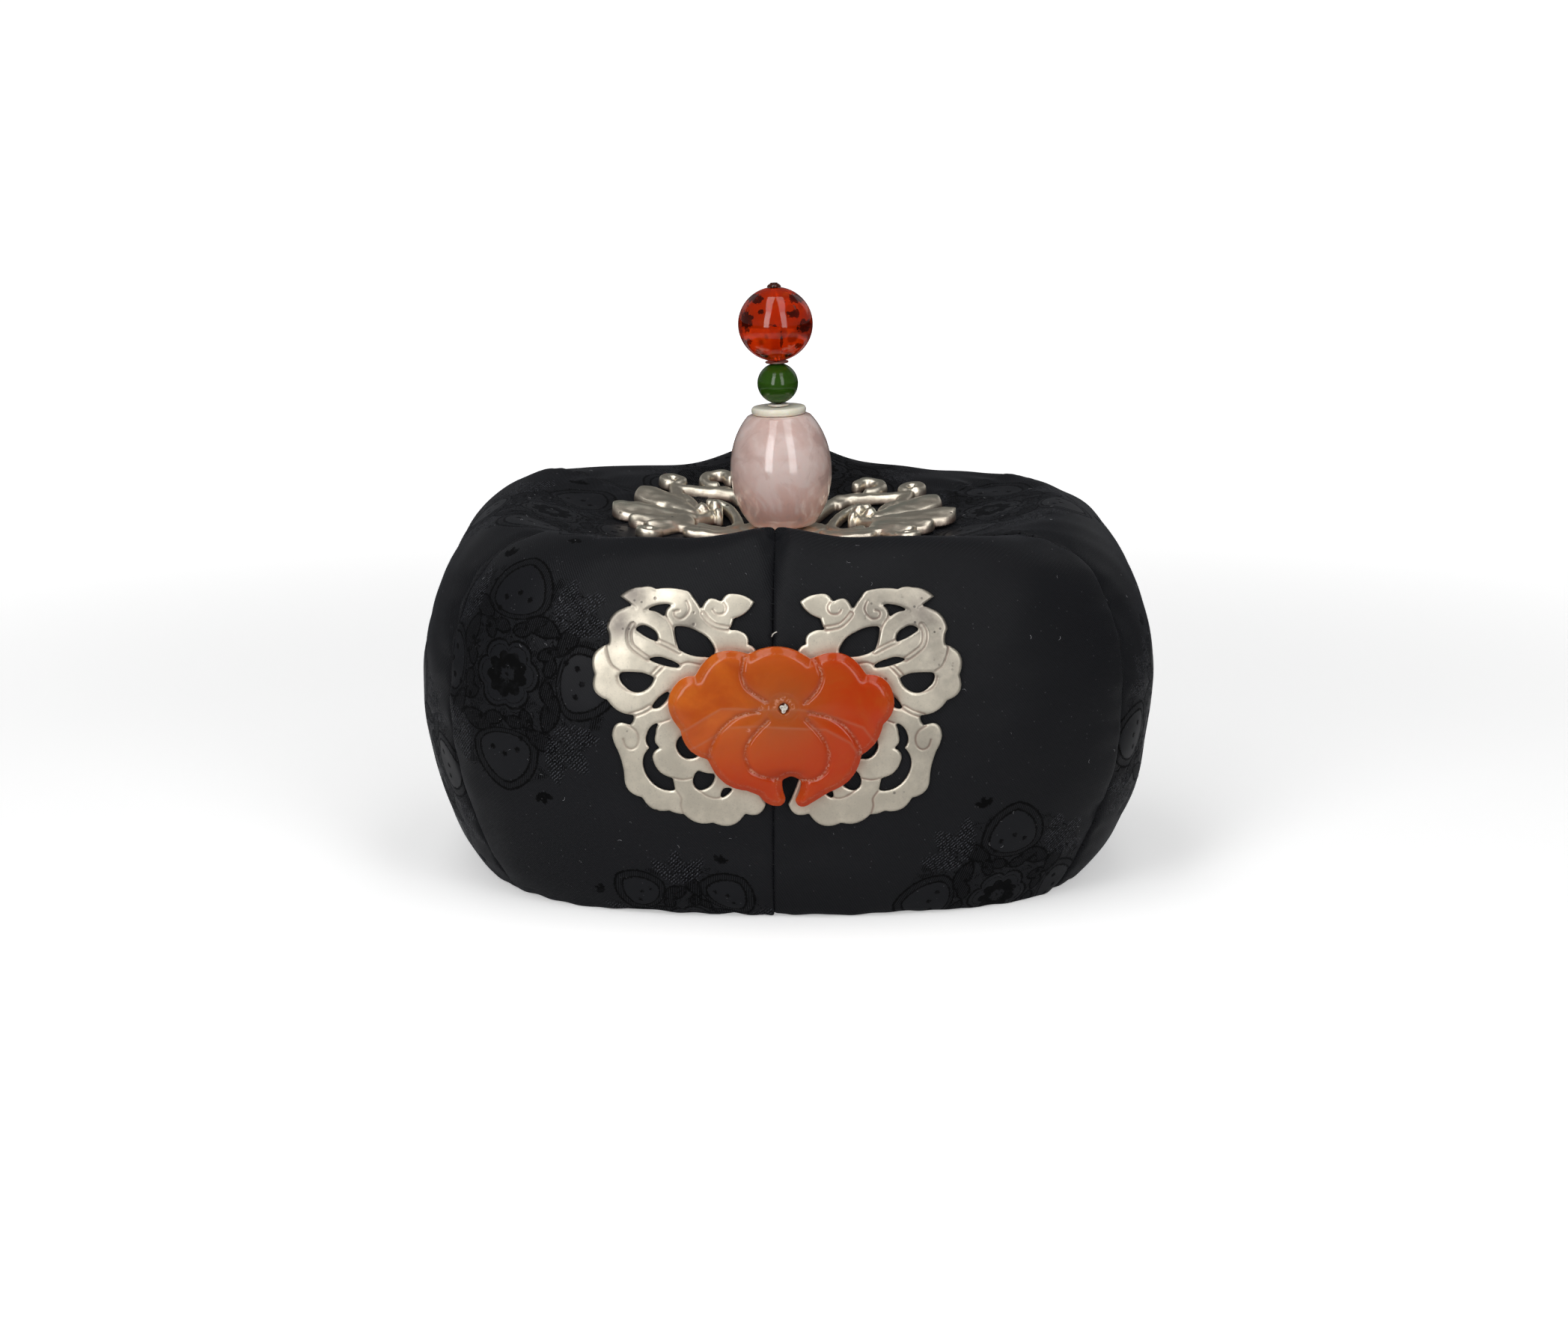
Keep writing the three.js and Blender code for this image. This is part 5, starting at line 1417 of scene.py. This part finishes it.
def panel_grid(index, length):
    """A silk panel's points in rows down its wall, and its cloth coordinates in millimetres."""
    other = (index + 1) % len(SEAMS)
    from_turn, to_turn = SEAMS[index][0], SEAMS[other][0] + (0 if other else 360)
    places = row_places(length)
    stations = round(math.radians(to_turn - from_turn) * MEAN_RADIUS / length)
    even = np.linspace(0, 1, stations + 1)
    share = (1 - SEAM_CROWDING) * even + SEAM_CROWDING * (0.5 - 0.5 * np.cos(math.pi * even))
    turn = (from_turn + (to_turn - from_turn) * share)[:, None]
    points = wall(places[None, :], turn, SEAM_DIPS)
    radius = np.hypot(points[..., 0], points[..., 1])
    cloth = cloth_grid(points)
    from_seam = {
        index: np.radians(np.abs(turn - from_turn)) * radius,
        other: np.radians(np.abs(turn - to_turn)) * radius,
    }
    # the lining and the middle stay plain, and a seam's edge moves only in the seam's own plane
    outside = np.clip((HEM - places) / 0.8, 0, 1) * np.clip(places / 1.2, 0, 1)
    normals = grid_normals(points)
    angle = np.radians(turn)
    sideways = np.stack([np.cos(angle), np.sin(angle), np.zeros_like(angle)], -1)
    nearest = np.minimum(from_seam[index], from_seam[other])
    slant = (normals * sideways).sum(axis=-1) * np.exp(-nearest / PUCKER_START)
    normals = normals - slant[..., None] * sideways
    raised = folds_over(index, places, cloth, from_seam) * outside
    points = points + normals * raised[..., None]
    points[..., 2] = np.maximum(points[..., 2], 0)
    inset = np.zeros((stations + 1, 1, 1))
    inset[0] = SEAM_INSET
    inset[-1] = -SEAM_INSET
    return points + sideways * inset, cloth


def add_panel(index, material):
    name = SEAMS[index][3]
    points, cloth = panel_grid(index, settings().row_length / MM)
    faces = tube_faces(*points.shape[:2])
    piece = add_object(f"silk_{name}", to_metres(points.reshape(-1, 3)), faces, material)
    flat = cloth.reshape(-1, 2)
    layer = piece.data.uv_layers.new(name="Cloth")
    corners = np.empty(len(piece.data.loops), np.int32)
    piece.data.loops.foreach_get("vertex_index", corners)
    layer.data.foreach_set("uv", flat[corners].astype(np.float32).ravel())
    for field, distance in damask_fields(flat, ROUNDELS[name]).items():
        set_attribute(piece, field, distance)
    finish_piece(piece, name)
    return piece


def add_stitches(panels, thread):
    """Black stitches down in the six seams, from the crown plate to the hem."""
    places = row_places(settings().row_length / MM)
    rows = int(np.searchsorted(places, SKIRT + 1.4))
    first = int(np.searchsorted(places, 0.6))
    points = []
    edges = []
    outward = []
    for piece in panels:
        edge = points_of(piece)[:len(places)][first:rows]
        start = sum(len(part) for part in points)
        points.append(edge)
        edges += [(start + row, start + row + 1) for row in range(len(edge) - 1)]
        radial = edge / MM - CAP_MIDDLE
        slope = np.gradient(edge, axis=0)
        side = np.cross(slope, np.stack([-radial[:, 1], radial[:, 0], np.zeros(len(edge))], -1))
        side /= np.maximum(np.linalg.norm(side, axis=1, keepdims=True), 1e-12)
        outward.append(side * np.sign(np.sum(side * (radial - [0, 0, 30]), axis=1))[:, None])
    mesh = bpy.data.meshes.new("silk_stitches")
    mesh.from_pydata([tuple(point) for point in np.vstack(points)], edges, [])
    layer = mesh.attributes.new("outward", "FLOAT_VECTOR", "POINT")
    layer.data.foreach_set("vector", np.vstack(outward).astype(np.float32).ravel())
    piece = link_object("silk_stitches", mesh)
    grow(piece, stitches_tree(), {"Thread": thread})
    finish_piece(piece)


def add_lint(panels, fibre):
    """A little lint on each silk panel."""
    tree = lint_tree()
    for index, panel in enumerate(panels):
        piece = link_object(panel.name.replace("silk_panel", "lint"), panel.data.copy())
        grow(piece, tree, {"Seed": LINT_SEED + index, "Fibre": fibre})
        finish_piece(piece)


# Silver


def chased_recess(flat):
    """How deep each flat point lies in the plates' chased lines, from 0 to 1."""
    bands = [distance_to(flat, smooth_path(band, 0.5))[0] - PLATE_BAND_HALF for band in PLATE_BANDS]
    depths = [from_lines(flat, PLATE_LINES, 0.5), *bands]
    return np.max([bell(apart, PLATE_LINE_WIDTH) for apart in depths], axis=0)


def add_front_plate(side, material):
    """A pierced, chased plate bent to its panel. side is -1 for the left one and 1 for its mirror image."""
    node = "front_plate_left" if side < 0 else "front_plate_right"
    outline = arc_loop(PLATE_OUTLINE, 0.4)
    holes = [arc_loop(rows, 0.35) for rows in PLATE_HOLES]
    piece = pierced_slab(f"silver_{node}", outline, holes, PLATE_THICK, 0.2, 2)
    local = points_of(piece)
    flat = local[:, :2]
    x = flat[:, 0] if side < 0 else 2 * PLATE_MIDDLE - flat[:, 0]
    z = flat[:, 1]
    depth = local[:, 2] + PLATE_THICK / 2
    upper = np.clip(depth / PLATE_THICK, 0, 1) ** 2
    recess = chased_recess(flat)
    edge = np.min([distance_to(flat, loop, True)[0] for loop in (outline, *holes)], axis=0)
    depth -= upper * (settings().chasing / MM * recess + PLATE_ROUNDING * bell(edge, 0.3))
    bent = np.clip((z - PLATE_FLAT_BELOW) / 10, 0.15, 1)
    depth += PLATE_DENTS * bent * waves(flat, 11, 90 + side)
    near_stone, _ = distance_to(np.stack([x, z], -1), arc_loop(STONE_OUTLINE, 1.0), True)
    reach = front_reach(x, z) + PLATE_STAND_OFF + depth
    dress(piece, np.stack([x, -reach, z], -1), material)
    if side < 0:
        # swapping y and z turned the skin inside out; its mirror image is turned back
        piece.data.flip_normals()
    tarnish = [
        strength * bell(np.hypot(flat[:, 0] - across, z - up), radius)
        for across, up, radius, strength in PLATE_TARNISH[side]
    ]
    set_attribute(piece, "recess", recess * upper * (0.6 if side < 0 else 1.0))
    # painted light: the stone's orange glow on the silver, fading away from the stone's outline
    set_attribute(piece, "glow", 0.45 * np.exp(-near_stone / 0.9))
    set_attribute(piece, "bright", bent)
    set_attribute(piece, "patch", np.max(tarnish, axis=0))
    finish_piece(piece, node)


def swelling(widths, share):
    first, middle, last = widths
    rising = first + (middle - first) * share * 2
    falling = middle + (last - middle) * (share * 2 - 1)
    return np.where(share < 0.5, rising, falling)


def run_shell(path, widths, height, sink, fullness):
    """A closed run of cast metal along a path: flat below, rounded above and at its ends.

    fullness is how boxy the round is: small values give a flat top, 1 a full half round.
    """
    fine = smooth_path(path, 0.1) if len(path) < 12 else path
    reached = lengths_along(fine)
    length = reached[-1]
    caps = np.minimum([widths[0] / 2, widths[2] / 2], length * 0.48)
    turn = np.linspace(0.04, math.pi / 2, 9)
    straight = np.linspace(caps[0], length - caps[1], max(3, round((length - sum(caps)) / 0.35)))
    along = np.concatenate([
        caps[0] * (1 - np.cos(turn)), straight[1:-1], length - caps[1] * (1 - np.cos(turn[::-1])),
    ])
    path = np.stack([np.interp(along, reached, fine[:, axis]) for axis in (0, 1)], -1)
    share = along / length
    slope = np.gradient(fine, reached, axis=0)
    heading = np.stack([np.interp(along, reached, slope[:, axis]) for axis in (0, 1)], -1)
    heading /= np.linalg.norm(heading, axis=1, keepdims=True)
    half = swelling(widths, share) / 2
    from_end = np.minimum(1, np.minimum(along / caps[0], (length - along) / caps[1]))
    round_end = (1 - (1 - from_end) ** 2.6) ** 0.4
    angles = np.linspace(0, math.pi, 13)
    across = np.concatenate([np.cos(angles), [-0.5, 0.5]])
    up = np.concatenate([np.sin(angles) ** fullness, [0, 0]])
    aside = across[None, :] * (half * round_end)[:, None]
    rise = up[None, :] * (height * (0.75 + 0.25 * round_end))[:, None]
    rise = np.where(up[None, :] < 1e-6, -sink, rise)
    x = path[:, 0, None] - heading[:, 1, None] * aside
    y = path[:, 1, None] + heading[:, 0, None] * aside
    points = np.stack([x, y, rise], -1).reshape(-1, 3)
    # the runs' rings turn the other way
    faces = [(face[0], *face[:0:-1]) for face in tube_faces(len(path), len(across))]
    return points, faces


def spiral_path(row):
    x, y, radius, _, start, sweep, _ = row
    share = np.linspace(0, 1, 60)
    angle = np.radians(start + sweep * share)
    reach = radius * (1 - CURL_CLOSING * share)
    return np.stack([x + reach * np.cos(angle), y + reach * np.sin(angle)], -1)


def mirror_shell(shell):
    points, faces = shell
    return points * np.array([-1, 1, 1]), [tuple(reversed(face)) for face in faces]


def crown_ridges(flat):
    """The height of the ridges that fan out over the crown plate's petals, and how deep each spot lies."""
    ridges = np.zeros(len(flat))
    mirrored = np.stack([np.abs(flat[:, 0]), flat[:, 1]], -1)
    for name, (path, widths, _) in WING_RUNS.items():
        if not name.startswith("petal"):
            continue
        line = smooth_path(path, 0.5)
        apart, along = distance_to(mirrored, line)
        length = lengths_along(line)[-1]
        half = swelling(widths, np.clip(along / length, 0, 1)) / 2
        inside = np.clip((half * 0.98 - apart) / 0.5, 0, 1)
        fan = np.cos(apart / half * math.pi * 1.5)
        out = np.clip(along / length * 1.6 - 0.25, 0, 1)
        ridges = np.where((inside * out > 0) & (ridges == 0), inside * out * fan, ridges)
    return ridges


def add_crown_plate(material):
    rim = [(CROWN_MIDDLE_RADIUS, -0.1), (CROWN_MIDDLE_RADIUS, CROWN_MIDDLE_HEIGHT)]
    shells = [lathe_shell(rim, 96, closed=False)]
    runs = []
    for name, (path, widths, height) in WING_RUNS.items():
        domed = name.startswith(("petal", "boss"))
        runs.append((path, widths, height * (1.12 if domed else 0.8), 0.42 if domed else 0.35))
    runs += [(spiral_path(row), (row[3],) * 3, row[6], 0.35) for row in WING_CURLS]
    for index, (path, widths, height, fullness) in enumerate(runs):
        shell = run_shell(path, widths, height, 0.08 * (1 + index % 3), fullness)
        shells += [shell, mirror_shell(shell)]
    points, faces = join_shells(shells)
    piece = add_object("silver_crown_plate", points, faces, material)
    remesh(piece, 0.3, 3)
    local = points_of(piece)
    flat = local[:, :2]
    up = local[:, 2]
    top = np.clip(up / 1.2, 0, 1)
    ridges = crown_ridges(flat)
    up = up + top * (0.2 * ridges + 0.08 * waves(flat, 5.0, 61) + 0.05 * waves(flat, 2.2, 62))
    # the lower the metal lies, the darker it is painted: tarnish in the hollows between runs and ridges, and
    # painted shade low on the runs' sides
    recess = np.clip(1.15 - up / 1.5, 0, 1) + 0.25 * np.clip(-ridges, 0, 1)
    x, y = (turned(flat, -CROWN_TURN) + [FINIAL_X, 0]).T
    dress(piece, np.stack([x, y, crown_height(x, y) + CROWN_STAND_OFF + up], -1), material)
    set_attribute(piece, "recess", np.clip(recess, 0, 1))
    finish_piece(piece, "crown_plate")


# Stone and its knot


def stone_depth(x, z):
    out = (x / STONE_REACH[0]) ** 2 + ((z - STONE_MIDDLE_Z) / STONE_REACH[1]) ** 2
    return STONE_EDGE + STONE_SWELL * np.maximum(0, 1 - out)


def add_stone(material):
    outline = arc_loop(STONE_OUTLINE, 0.4)
    hole = circle(STONE_HOLE_RADIUS, 48) + STONE_HOLE
    piece = pierced_slab("carved_butterfly", outline, [hole], STONE_SLAB, 0.25, 3)
    local = points_of(piece)
    flat = local[:, :2]
    share = np.clip(local[:, 2] / STONE_SLAB + 0.5, 0, 1)
    # the hole narrows towards the back, and the stone round it, out to the dish's edge, is drawn in with it
    from_hole = flat - np.array(STONE_HOLE)
    away = np.linalg.norm(from_hole, axis=1)
    narrow = STONE_HOLE_RADIUS * (0.15 + 0.85 * share)
    squeeze = (STONE_DISH - narrow) / (STONE_DISH - STONE_HOLE_RADIUS)
    drawn_in = STONE_DISH - (STONE_DISH - away) * squeeze
    flat = flat + from_hole * (np.where(away < STONE_DISH, drawn_in, away) / away - 1)[:, None]
    x, z = flat.T
    edge, _ = distance_to(flat, outline, True)
    lobe = from_lines(flat, STONE_GROOVES, 0.4)
    groove = bell(lobe, STONE_GROOVE_WIDTH)
    facet = np.exp(-from_lines(flat, STONE_FACETS, 0.8) / 1.1)
    around_hole = np.hypot(x - STONE_HOLE[0], z - STONE_HOLE[1])
    face = stone_depth(x, z)
    face -= settings().carving / MM * groove + 0.28 * np.exp(-lobe / 2.4) - 0.1 * facet
    face -= 0.9 * np.exp(-(edge**1.5)) + 0.16 * step_at(edge, STONE_RIM, 0.09)
    face -= 0.2 * step_at(around_hole, STONE_DISH, 0.12)
    dress(piece, np.stack([x, STONE_BACK - share * face, z], -1), material)
    piece.data.flip_normals()
    chips = 0.35 + 0.65 * np.clip(waves(flat, 2.2, 33) + 0.2, 0, 1)
    around = bell(around_hole - 1.9, 0.3) * (z > STONE_HOLE[1])
    # frosted grooves and chips, a pale arc over the hole's top, and a painted highlight in a thin line just
    # inside the rim
    frost_and_rim_highlight = np.clip(groove**2 * chips + 0.2 * bell(edge - STONE_RIM, 0.18) + 0.8 * around, 0, 1)
    sparkle = np.max([bell(np.hypot(*(flat - spot).T), 0.35) for spot in STONE_CHIPS], axis=0)
    inner = bell(from_lines(flat + np.array([0.25, -0.25]), STONE_GROOVES, 0.4), 0.6)
    foot = bell(x - 1.0, 3.6) * bell(z - 33.3, 0.9)
    set_attribute(piece, "frost_and_rim_highlight", np.maximum(frost_and_rim_highlight, sparkle) * (share > 0.6))
    set_attribute(piece, "facet", bell(from_lines(flat, STONE_FACETS), 0.22))
    set_attribute(piece, "brown", bell(around_hole, 7.5))
    set_attribute(piece, "shaded", np.clip(0.6 * inner + foot, 0, 1))
    finish_piece(piece, "carnelian_butterfly")


def tube_shell(path, radius, sides):
    """A closed round tube along a path in space, without twist."""
    tangents = np.gradient(path, axis=0)
    tangents /= np.linalg.norm(tangents, axis=1, keepdims=True)
    normal = np.cross(tangents[0], [0.31, 0.52, 0.79])
    rings = []
    for spot, tangent in zip(path, tangents):
        normal = normal - tangent * (normal @ tangent)
        normal /= np.linalg.norm(normal)
        rings.append(spot + circle(radius, sides) @ [normal, np.cross(tangent, normal)])
    return np.vstack(rings), tube_faces(len(path), sides)


def add_knot(material):
    """The knot that holds the stone: a thread tied over itself, with its end behind it and a loose end."""
    turn = np.linspace(0, math.tau, 121)
    tied = np.stack([
        np.sin(turn) + 1.7 * np.sin(2 * turn),
        -0.9 * np.sin(3 * turn),
        1.15 * (np.cos(turn) - 1.7 * np.cos(2 * turn)),
    ], -1) * (KNOT_RADIUS - KNOT_THREAD) / 2.9
    front = STONE_BACK - float(stone_depth(*STONE_HOLE)) + KNOT_SUNK + 0.35
    middle = np.array([STONE_HOLE[0], front, STONE_HOLE[1]])
    stem = np.array([[0, 0, 0], [0.1, 1.0, 0], [0, 1.9, 0], [0, 2.7, 0]])
    loose = smooth_path([(0.25, -0.1, 0.3), (0.45, -0.4, 0.75), (0.2, -0.45, 1.05)], 0.06)
    shells = [
        tube_shell(tied + middle, KNOT_THREAD, 10),
        tube_shell(stem + middle, 0.36, 10),
        tube_shell(loose + middle, 0.11, 8),
    ]
    points, faces = join_shells(shells)
    piece = add_object("thread_knot", to_metres(points), faces, material)
    recalculate(piece)
    finish_piece(piece, "butterfly_knot")


def add_thread_end(material):
    """A short end of the same thread that stands out of the silk beside the front seam."""
    x, z = THREAD_END
    reach = float(front_reach(np.array([x]), np.array([z]))[0])
    path = smooth_path([
        (x, 0.7 - reach, z), (x - 0.1, -0.2 - reach, z + 0.2), (x + 0.3, -0.45 - reach, z + 0.8),
        (x + 0.9, -0.3 - reach, z + 1.1),
    ], 0.08)
    points, faces = tube_shell(path, 0.13, 8)
    piece = add_object("thread_end", to_metres(points), faces, material)
    finish_piece(piece)


# Beads


def bead_profile(shape, radius, height, end_radius):
    """The outside of a bead from its foot to its top, as how far out and how far up."""
    if shape == "disc":
        turn = np.linspace(-math.pi / 2, math.pi / 2, 11)
        bulge = min(height / 2, radius - end_radius + 0.25)
        out = radius - bulge + bulge * np.cos(turn)
        return np.stack([out, height / 2 + height / 2 * np.sin(turn)], -1)
    if shape == "dome":
        turn = np.linspace(0, math.radians(80), 11)
        return np.vstack([[radius - 0.2, 0], np.stack([radius * np.cos(turn), height * np.sin(turn)], -1)])
    end_turn = math.acos(end_radius / radius)
    turn = np.linspace(-end_turn, end_turn, 57)
    up = height * (0.5 + 0.5 * np.sin(turn) / math.sin(end_turn))
    out = radius * np.cos(turn)
    lip = min(0.35, end_radius * 0.3)
    profile = np.stack([out, up], -1)
    profile[0] = [profile[0][0] - lip, 0]
    profile[-1] = [profile[-1][0] - lip, height]
    return profile


def finial_place(points):
    """Carries points from the finial's own upright frame to the cap's."""
    foot = float(crown_height(np.array([0.0]), np.array([0.0]))[0]) + CROWN_STAND_OFF + CROWN_MIDDLE_HEIGHT
    x, z = turned(points[:, [0, 2]], -FINIAL_LEAN).T
    return np.stack([x + FINIAL_X, points[:, 1], z + foot], -1)


def bead_middle(level, height):
    return to_metres(finial_place(np.array([[0, 0, level + height / 2]])))[0]


def add_bead(name, level, shape, material):
    """A drilled bead whose foot is this far up the finial, from the shape that its row gives."""
    _, radius, height, _ = shape
    lip = BEAD_HOLE + BEAD_LIP
    profile = np.vstack([
        bead_profile(*shape),
        [(lip, height), (BEAD_HOLE, height - BEAD_LIP), (BEAD_HOLE, BEAD_LIP), (lip, 0)],
    ])
    points, faces = lathe_shell(profile, 128 if radius > 5 else 72)
    points[:, 2] += level
    piece = add_object(f"strung_{name}", to_metres(finial_place(points)), faces, material)
    recalculate(piece)
    if name == "amber_bead":
        x, y, z = ((points_of(piece) - bead_middle(level, height)) / MM).T
        patches = [
            bell(x - across, wide) * bell(z - up, high) * ((y > 0) == back)
            for across, up, wide, high, back in AMBER_PATCHES
        ]
        set_attribute(piece, "patch", np.max(patches, axis=0))
    finish_piece(piece, name)


def add_flakes(level, radius, height):
    """The dark flakes inside the clear bead."""
    middle = bead_middle(level, height)
    ball = bmesh.new()
    bmesh.ops.create_icosphere(ball, subdivisions=4, radius=(radius - 0.5) * MM)
    bmesh.ops.translate(ball, verts=ball.verts, vec=Vector(middle))
    mesh = bpy.data.meshes.new("amber_flakes")
    ball.to_mesh(mesh)
    ball.free()
    piece = link_object("amber_flakes", mesh)
    grow(piece, flakes_tree(), {"Middle": tuple(middle), "Flake": flake_material()})
    finish_piece(piece)


def add_string(top, material):
    """The stringing thread: three strands laid round each other, from the crown plate's foot to the top."""
    foot = (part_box("finial_post")[0][2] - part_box("crown_plate")[0][2]) / MM - CROWN_MIDDLE_HEIGHT
    climb = np.linspace(min(foot, -CROWN_MIDDLE_HEIGHT), top - 0.1, 400)
    shells = []
    for strand in range(3):
        turn = climb * math.tau / STRAND_LAY + strand * math.tau / 3
        path = np.stack([STRAND_OUT * np.cos(turn), STRAND_OUT * np.sin(turn), climb], -1)
        shells.append(tube_shell(path, STRAND_RADIUS, 8))
    points, faces = join_shells(shells)
    piece = add_object("stringing_thread", to_metres(finial_place(points)), faces, material)
    finish_piece(piece, "finial_post")


# Operators


class CORONET_OT_silk(bpy.types.Operator):
    """Lay the six padded silk panels"""

    bl_idname = "coronet.silk"
    bl_label = "Silk panels"

    def execute(self, context):
        material = silk_material()
        panels = [add_panel(index, material) for index in range(len(SEAMS))]
        add_stitches(panels, thread_material("Black sewing thread", (0.012, 0.012, 0.014), 0.0005))
        add_lint(panels, thread_material("Lint", (0.42, 0.42, 0.44), 0.0005))
        return {"FINISHED"}


class CORONET_OT_front_plates(bpy.types.Operator):
    """Pierce, chase and bend the two silver front plates"""

    bl_idname = "coronet.front_plates"
    bl_label = "Front plates"

    def execute(self, context):
        material = silver_material("Chased silver", 0.47, plate=True)
        for side in (-1, 1):
            add_front_plate(side, material)
        return {"FINISHED"}


class CORONET_OT_crown_plate(bpy.types.Operator):
    """Cast the silver butterfly plate on the crown"""

    bl_idname = "coronet.crown_plate"
    bl_label = "Crown plate"

    def execute(self, context):
        # painted light: the crown plate's silver is coloured 1.34 times lighter than the front plates'
        add_crown_plate(silver_material("Cast silver", 0.36, relief=0.13, painted_light_gain=1.34))
        return {"FINISHED"}


class CORONET_OT_stone(bpy.types.Operator):
    """Carve the stone butterfly and tie its knot"""

    bl_idname = "coronet.stone"
    bl_label = "Carved stone"

    def execute(self, context):
        add_stone(carnelian_material())
        thread = thread_material("Pale thread", (0.85, 0.8, 0.72), 0.0006)
        add_knot(thread)
        add_thread_end(thread)
        return {"FINISHED"}


class CORONET_OT_finial(bpy.types.Operator):
    """String the beads of the finial"""

    bl_idname = "coronet.finial"
    bl_label = "Finial"

    def execute(self, context):
        own = {"Cloudy rose quartz": quartz_material, "Clear amber": amber_material}
        level = SEAT_GAP
        for name, slot, label, *shape in BEADS:
            material = own[label]() if label in own else polished_material(label)
            add_bead(name, level, shape, material)
            _, radius, height, _ = shape
            if label == "Clear amber":
                add_flakes(level, radius, height)
            level += height + BEAD_GAP
        add_string(level - BEAD_GAP, thread_material("Stringing thread", (0.2, 0.05, 0.02), 0.0008))
        return {"FINISHED"}


def add_softbox(name, start, end, width, brightness):
    """A long softbox between two spots, in metres, turned to face the coronet."""
    start, end = Vector(start), Vector(end)
    middle = (start + end) / 2
    along = (end - start).normalized()
    light = bpy.data.lights.new(name, "AREA")
    light.shape = "RECTANGLE"
    light.size = width
    light.size_y = (end - start).length
    light.energy = brightness * math.pi * width * light.size_y
    back = middle - Vector((0, 0, 0.08))
    back = (back - along * back.dot(along)).normalized()
    turn = Matrix((along.cross(back), along, back)).transposed()
    lamp = link_object(name, light)
    lamp.location = middle
    lamp.rotation_euler = turn.to_euler()


def add_floor():
    corners = [(x * FLOOR_HALF, y * FLOOR_HALF, 0) for x, y in ((-1, -1), (1, -1), (1, 1), (-1, 1))]
    floor = add_object("studio_floor", corners, [(0, 1, 2, 3)], floor_material())


def add_tent():
    """A white world for the camera, which lights the coronet only as a dim grey tent."""
    world = bpy.data.worlds.new("Studio")
    world.use_nodes = True
    graph = Graph(world.node_tree)
    rays = graph.add("ShaderNodeLightPath").outputs
    seen = graph.math("MAXIMUM", rays["Is Camera Ray"], graph.times(rays["Is Transmission Ray"], 0.4))
    up = graph.parts(graph.add("ShaderNodeTexCoord").outputs["Generated"])["Z"]
    tent = graph.mix(graph.ramp(up, 0.0, 0.5), (*[TENT_SIDES] * 3, 1), (*[TENT_TOP] * 3, 1))
    sky = graph.mix(seen, tent, (1, 1, 1, 1))
    graph.set(world.node_tree.nodes["Background"].inputs["Color"], sky)
    bpy.context.scene.world = world


def add_lights():
    key, back = settings().key_power, settings().back_power
    for name, side, share in (("left", -1, 1.0), ("right", 1, RIGHT_STRIP_SHARE)):
        low, bend, far = ((side * x, y, z) for x, y, z in STRIP_PLACES)
        add_softbox(f"strip_front_{name}", low, bend, STRIP_WIDTH, key * share)
        add_softbox(f"strip_over_{name}", bend, far, STRIP_WIDTH, key * share * OVER_SHARE)
    for name, side, share in (("left", -1, LEFT_BACK_SHARE), ("right", 1, 1.0)):
        low, high = ((side * x, y, z) for x, y, z in BACK_PLACES)
        add_softbox(f"softbox_back_{name}", low, high, BACK_WIDTH, back * share)


def add_camera():
    data = bpy.data.cameras.new("Camera")
    data.lens = CAMERA_LENS
    data.sensor_width = 36
    camera = link_object("Camera", data)
    place, aim = (Vector(to_metres(np.array(spot))) for spot in (CAMERA_PLACE, CAMERA_AIM))
    camera.location = place
    camera.rotation_euler = (aim - place).to_track_quat("-Z", "Y").to_euler()
    bpy.context.scene.camera = camera


class CORONET_OT_stage(bpy.types.Operator):
    """Set the floor, the lights and the camera"""

    bl_idname = "coronet.stage"
    bl_label = "Stage"

    def execute(self, context):
        context.scene.view_settings.view_transform = "Standard"
        add_floor()
        add_tent()
        add_lights()
        add_camera()
        return {"FINISHED"}


class CORONET_PT_panel(bpy.types.Panel):
    """The coronet's steps and settings in the sidebar"""

    bl_label = "Bridal coronet"
    bl_idname = "CORONET_PT_panel"
    bl_space_type = "VIEW_3D"
    bl_region_type = "UI"
    bl_category = "Coronet"

    def draw(self, context):
        for step in STEPS:
            self.layout.operator(step.bl_idname)
        for name in CoronetSettings.__annotations__:
            self.layout.prop(context.scene.coronet, name)


STEPS = (
    CORONET_OT_silk,
    CORONET_OT_front_plates,
    CORONET_OT_crown_plate,
    CORONET_OT_stone,
    CORONET_OT_finial,
    CORONET_OT_stage,
)


def register():
    for cls in (CoronetSettings, *STEPS, CORONET_PT_panel):
        bpy.utils.register_class(cls)
    bpy.types.Scene.coronet = bpy.props.PointerProperty(type=CoronetSettings)


def unregister():
    del bpy.types.Scene.coronet
    for cls in reversed((CoronetSettings, *STEPS, CORONET_PT_panel)):
        bpy.utils.unregister_class(cls)


def main():
    register()
    bpy.ops.coronet.silk()
    bpy.ops.coronet.front_plates()
    bpy.ops.coronet.crown_plate()
    bpy.ops.coronet.stone()
    bpy.ops.coronet.finial()
    bpy.ops.coronet.stage()


if __name__ == "__main__":
    main()
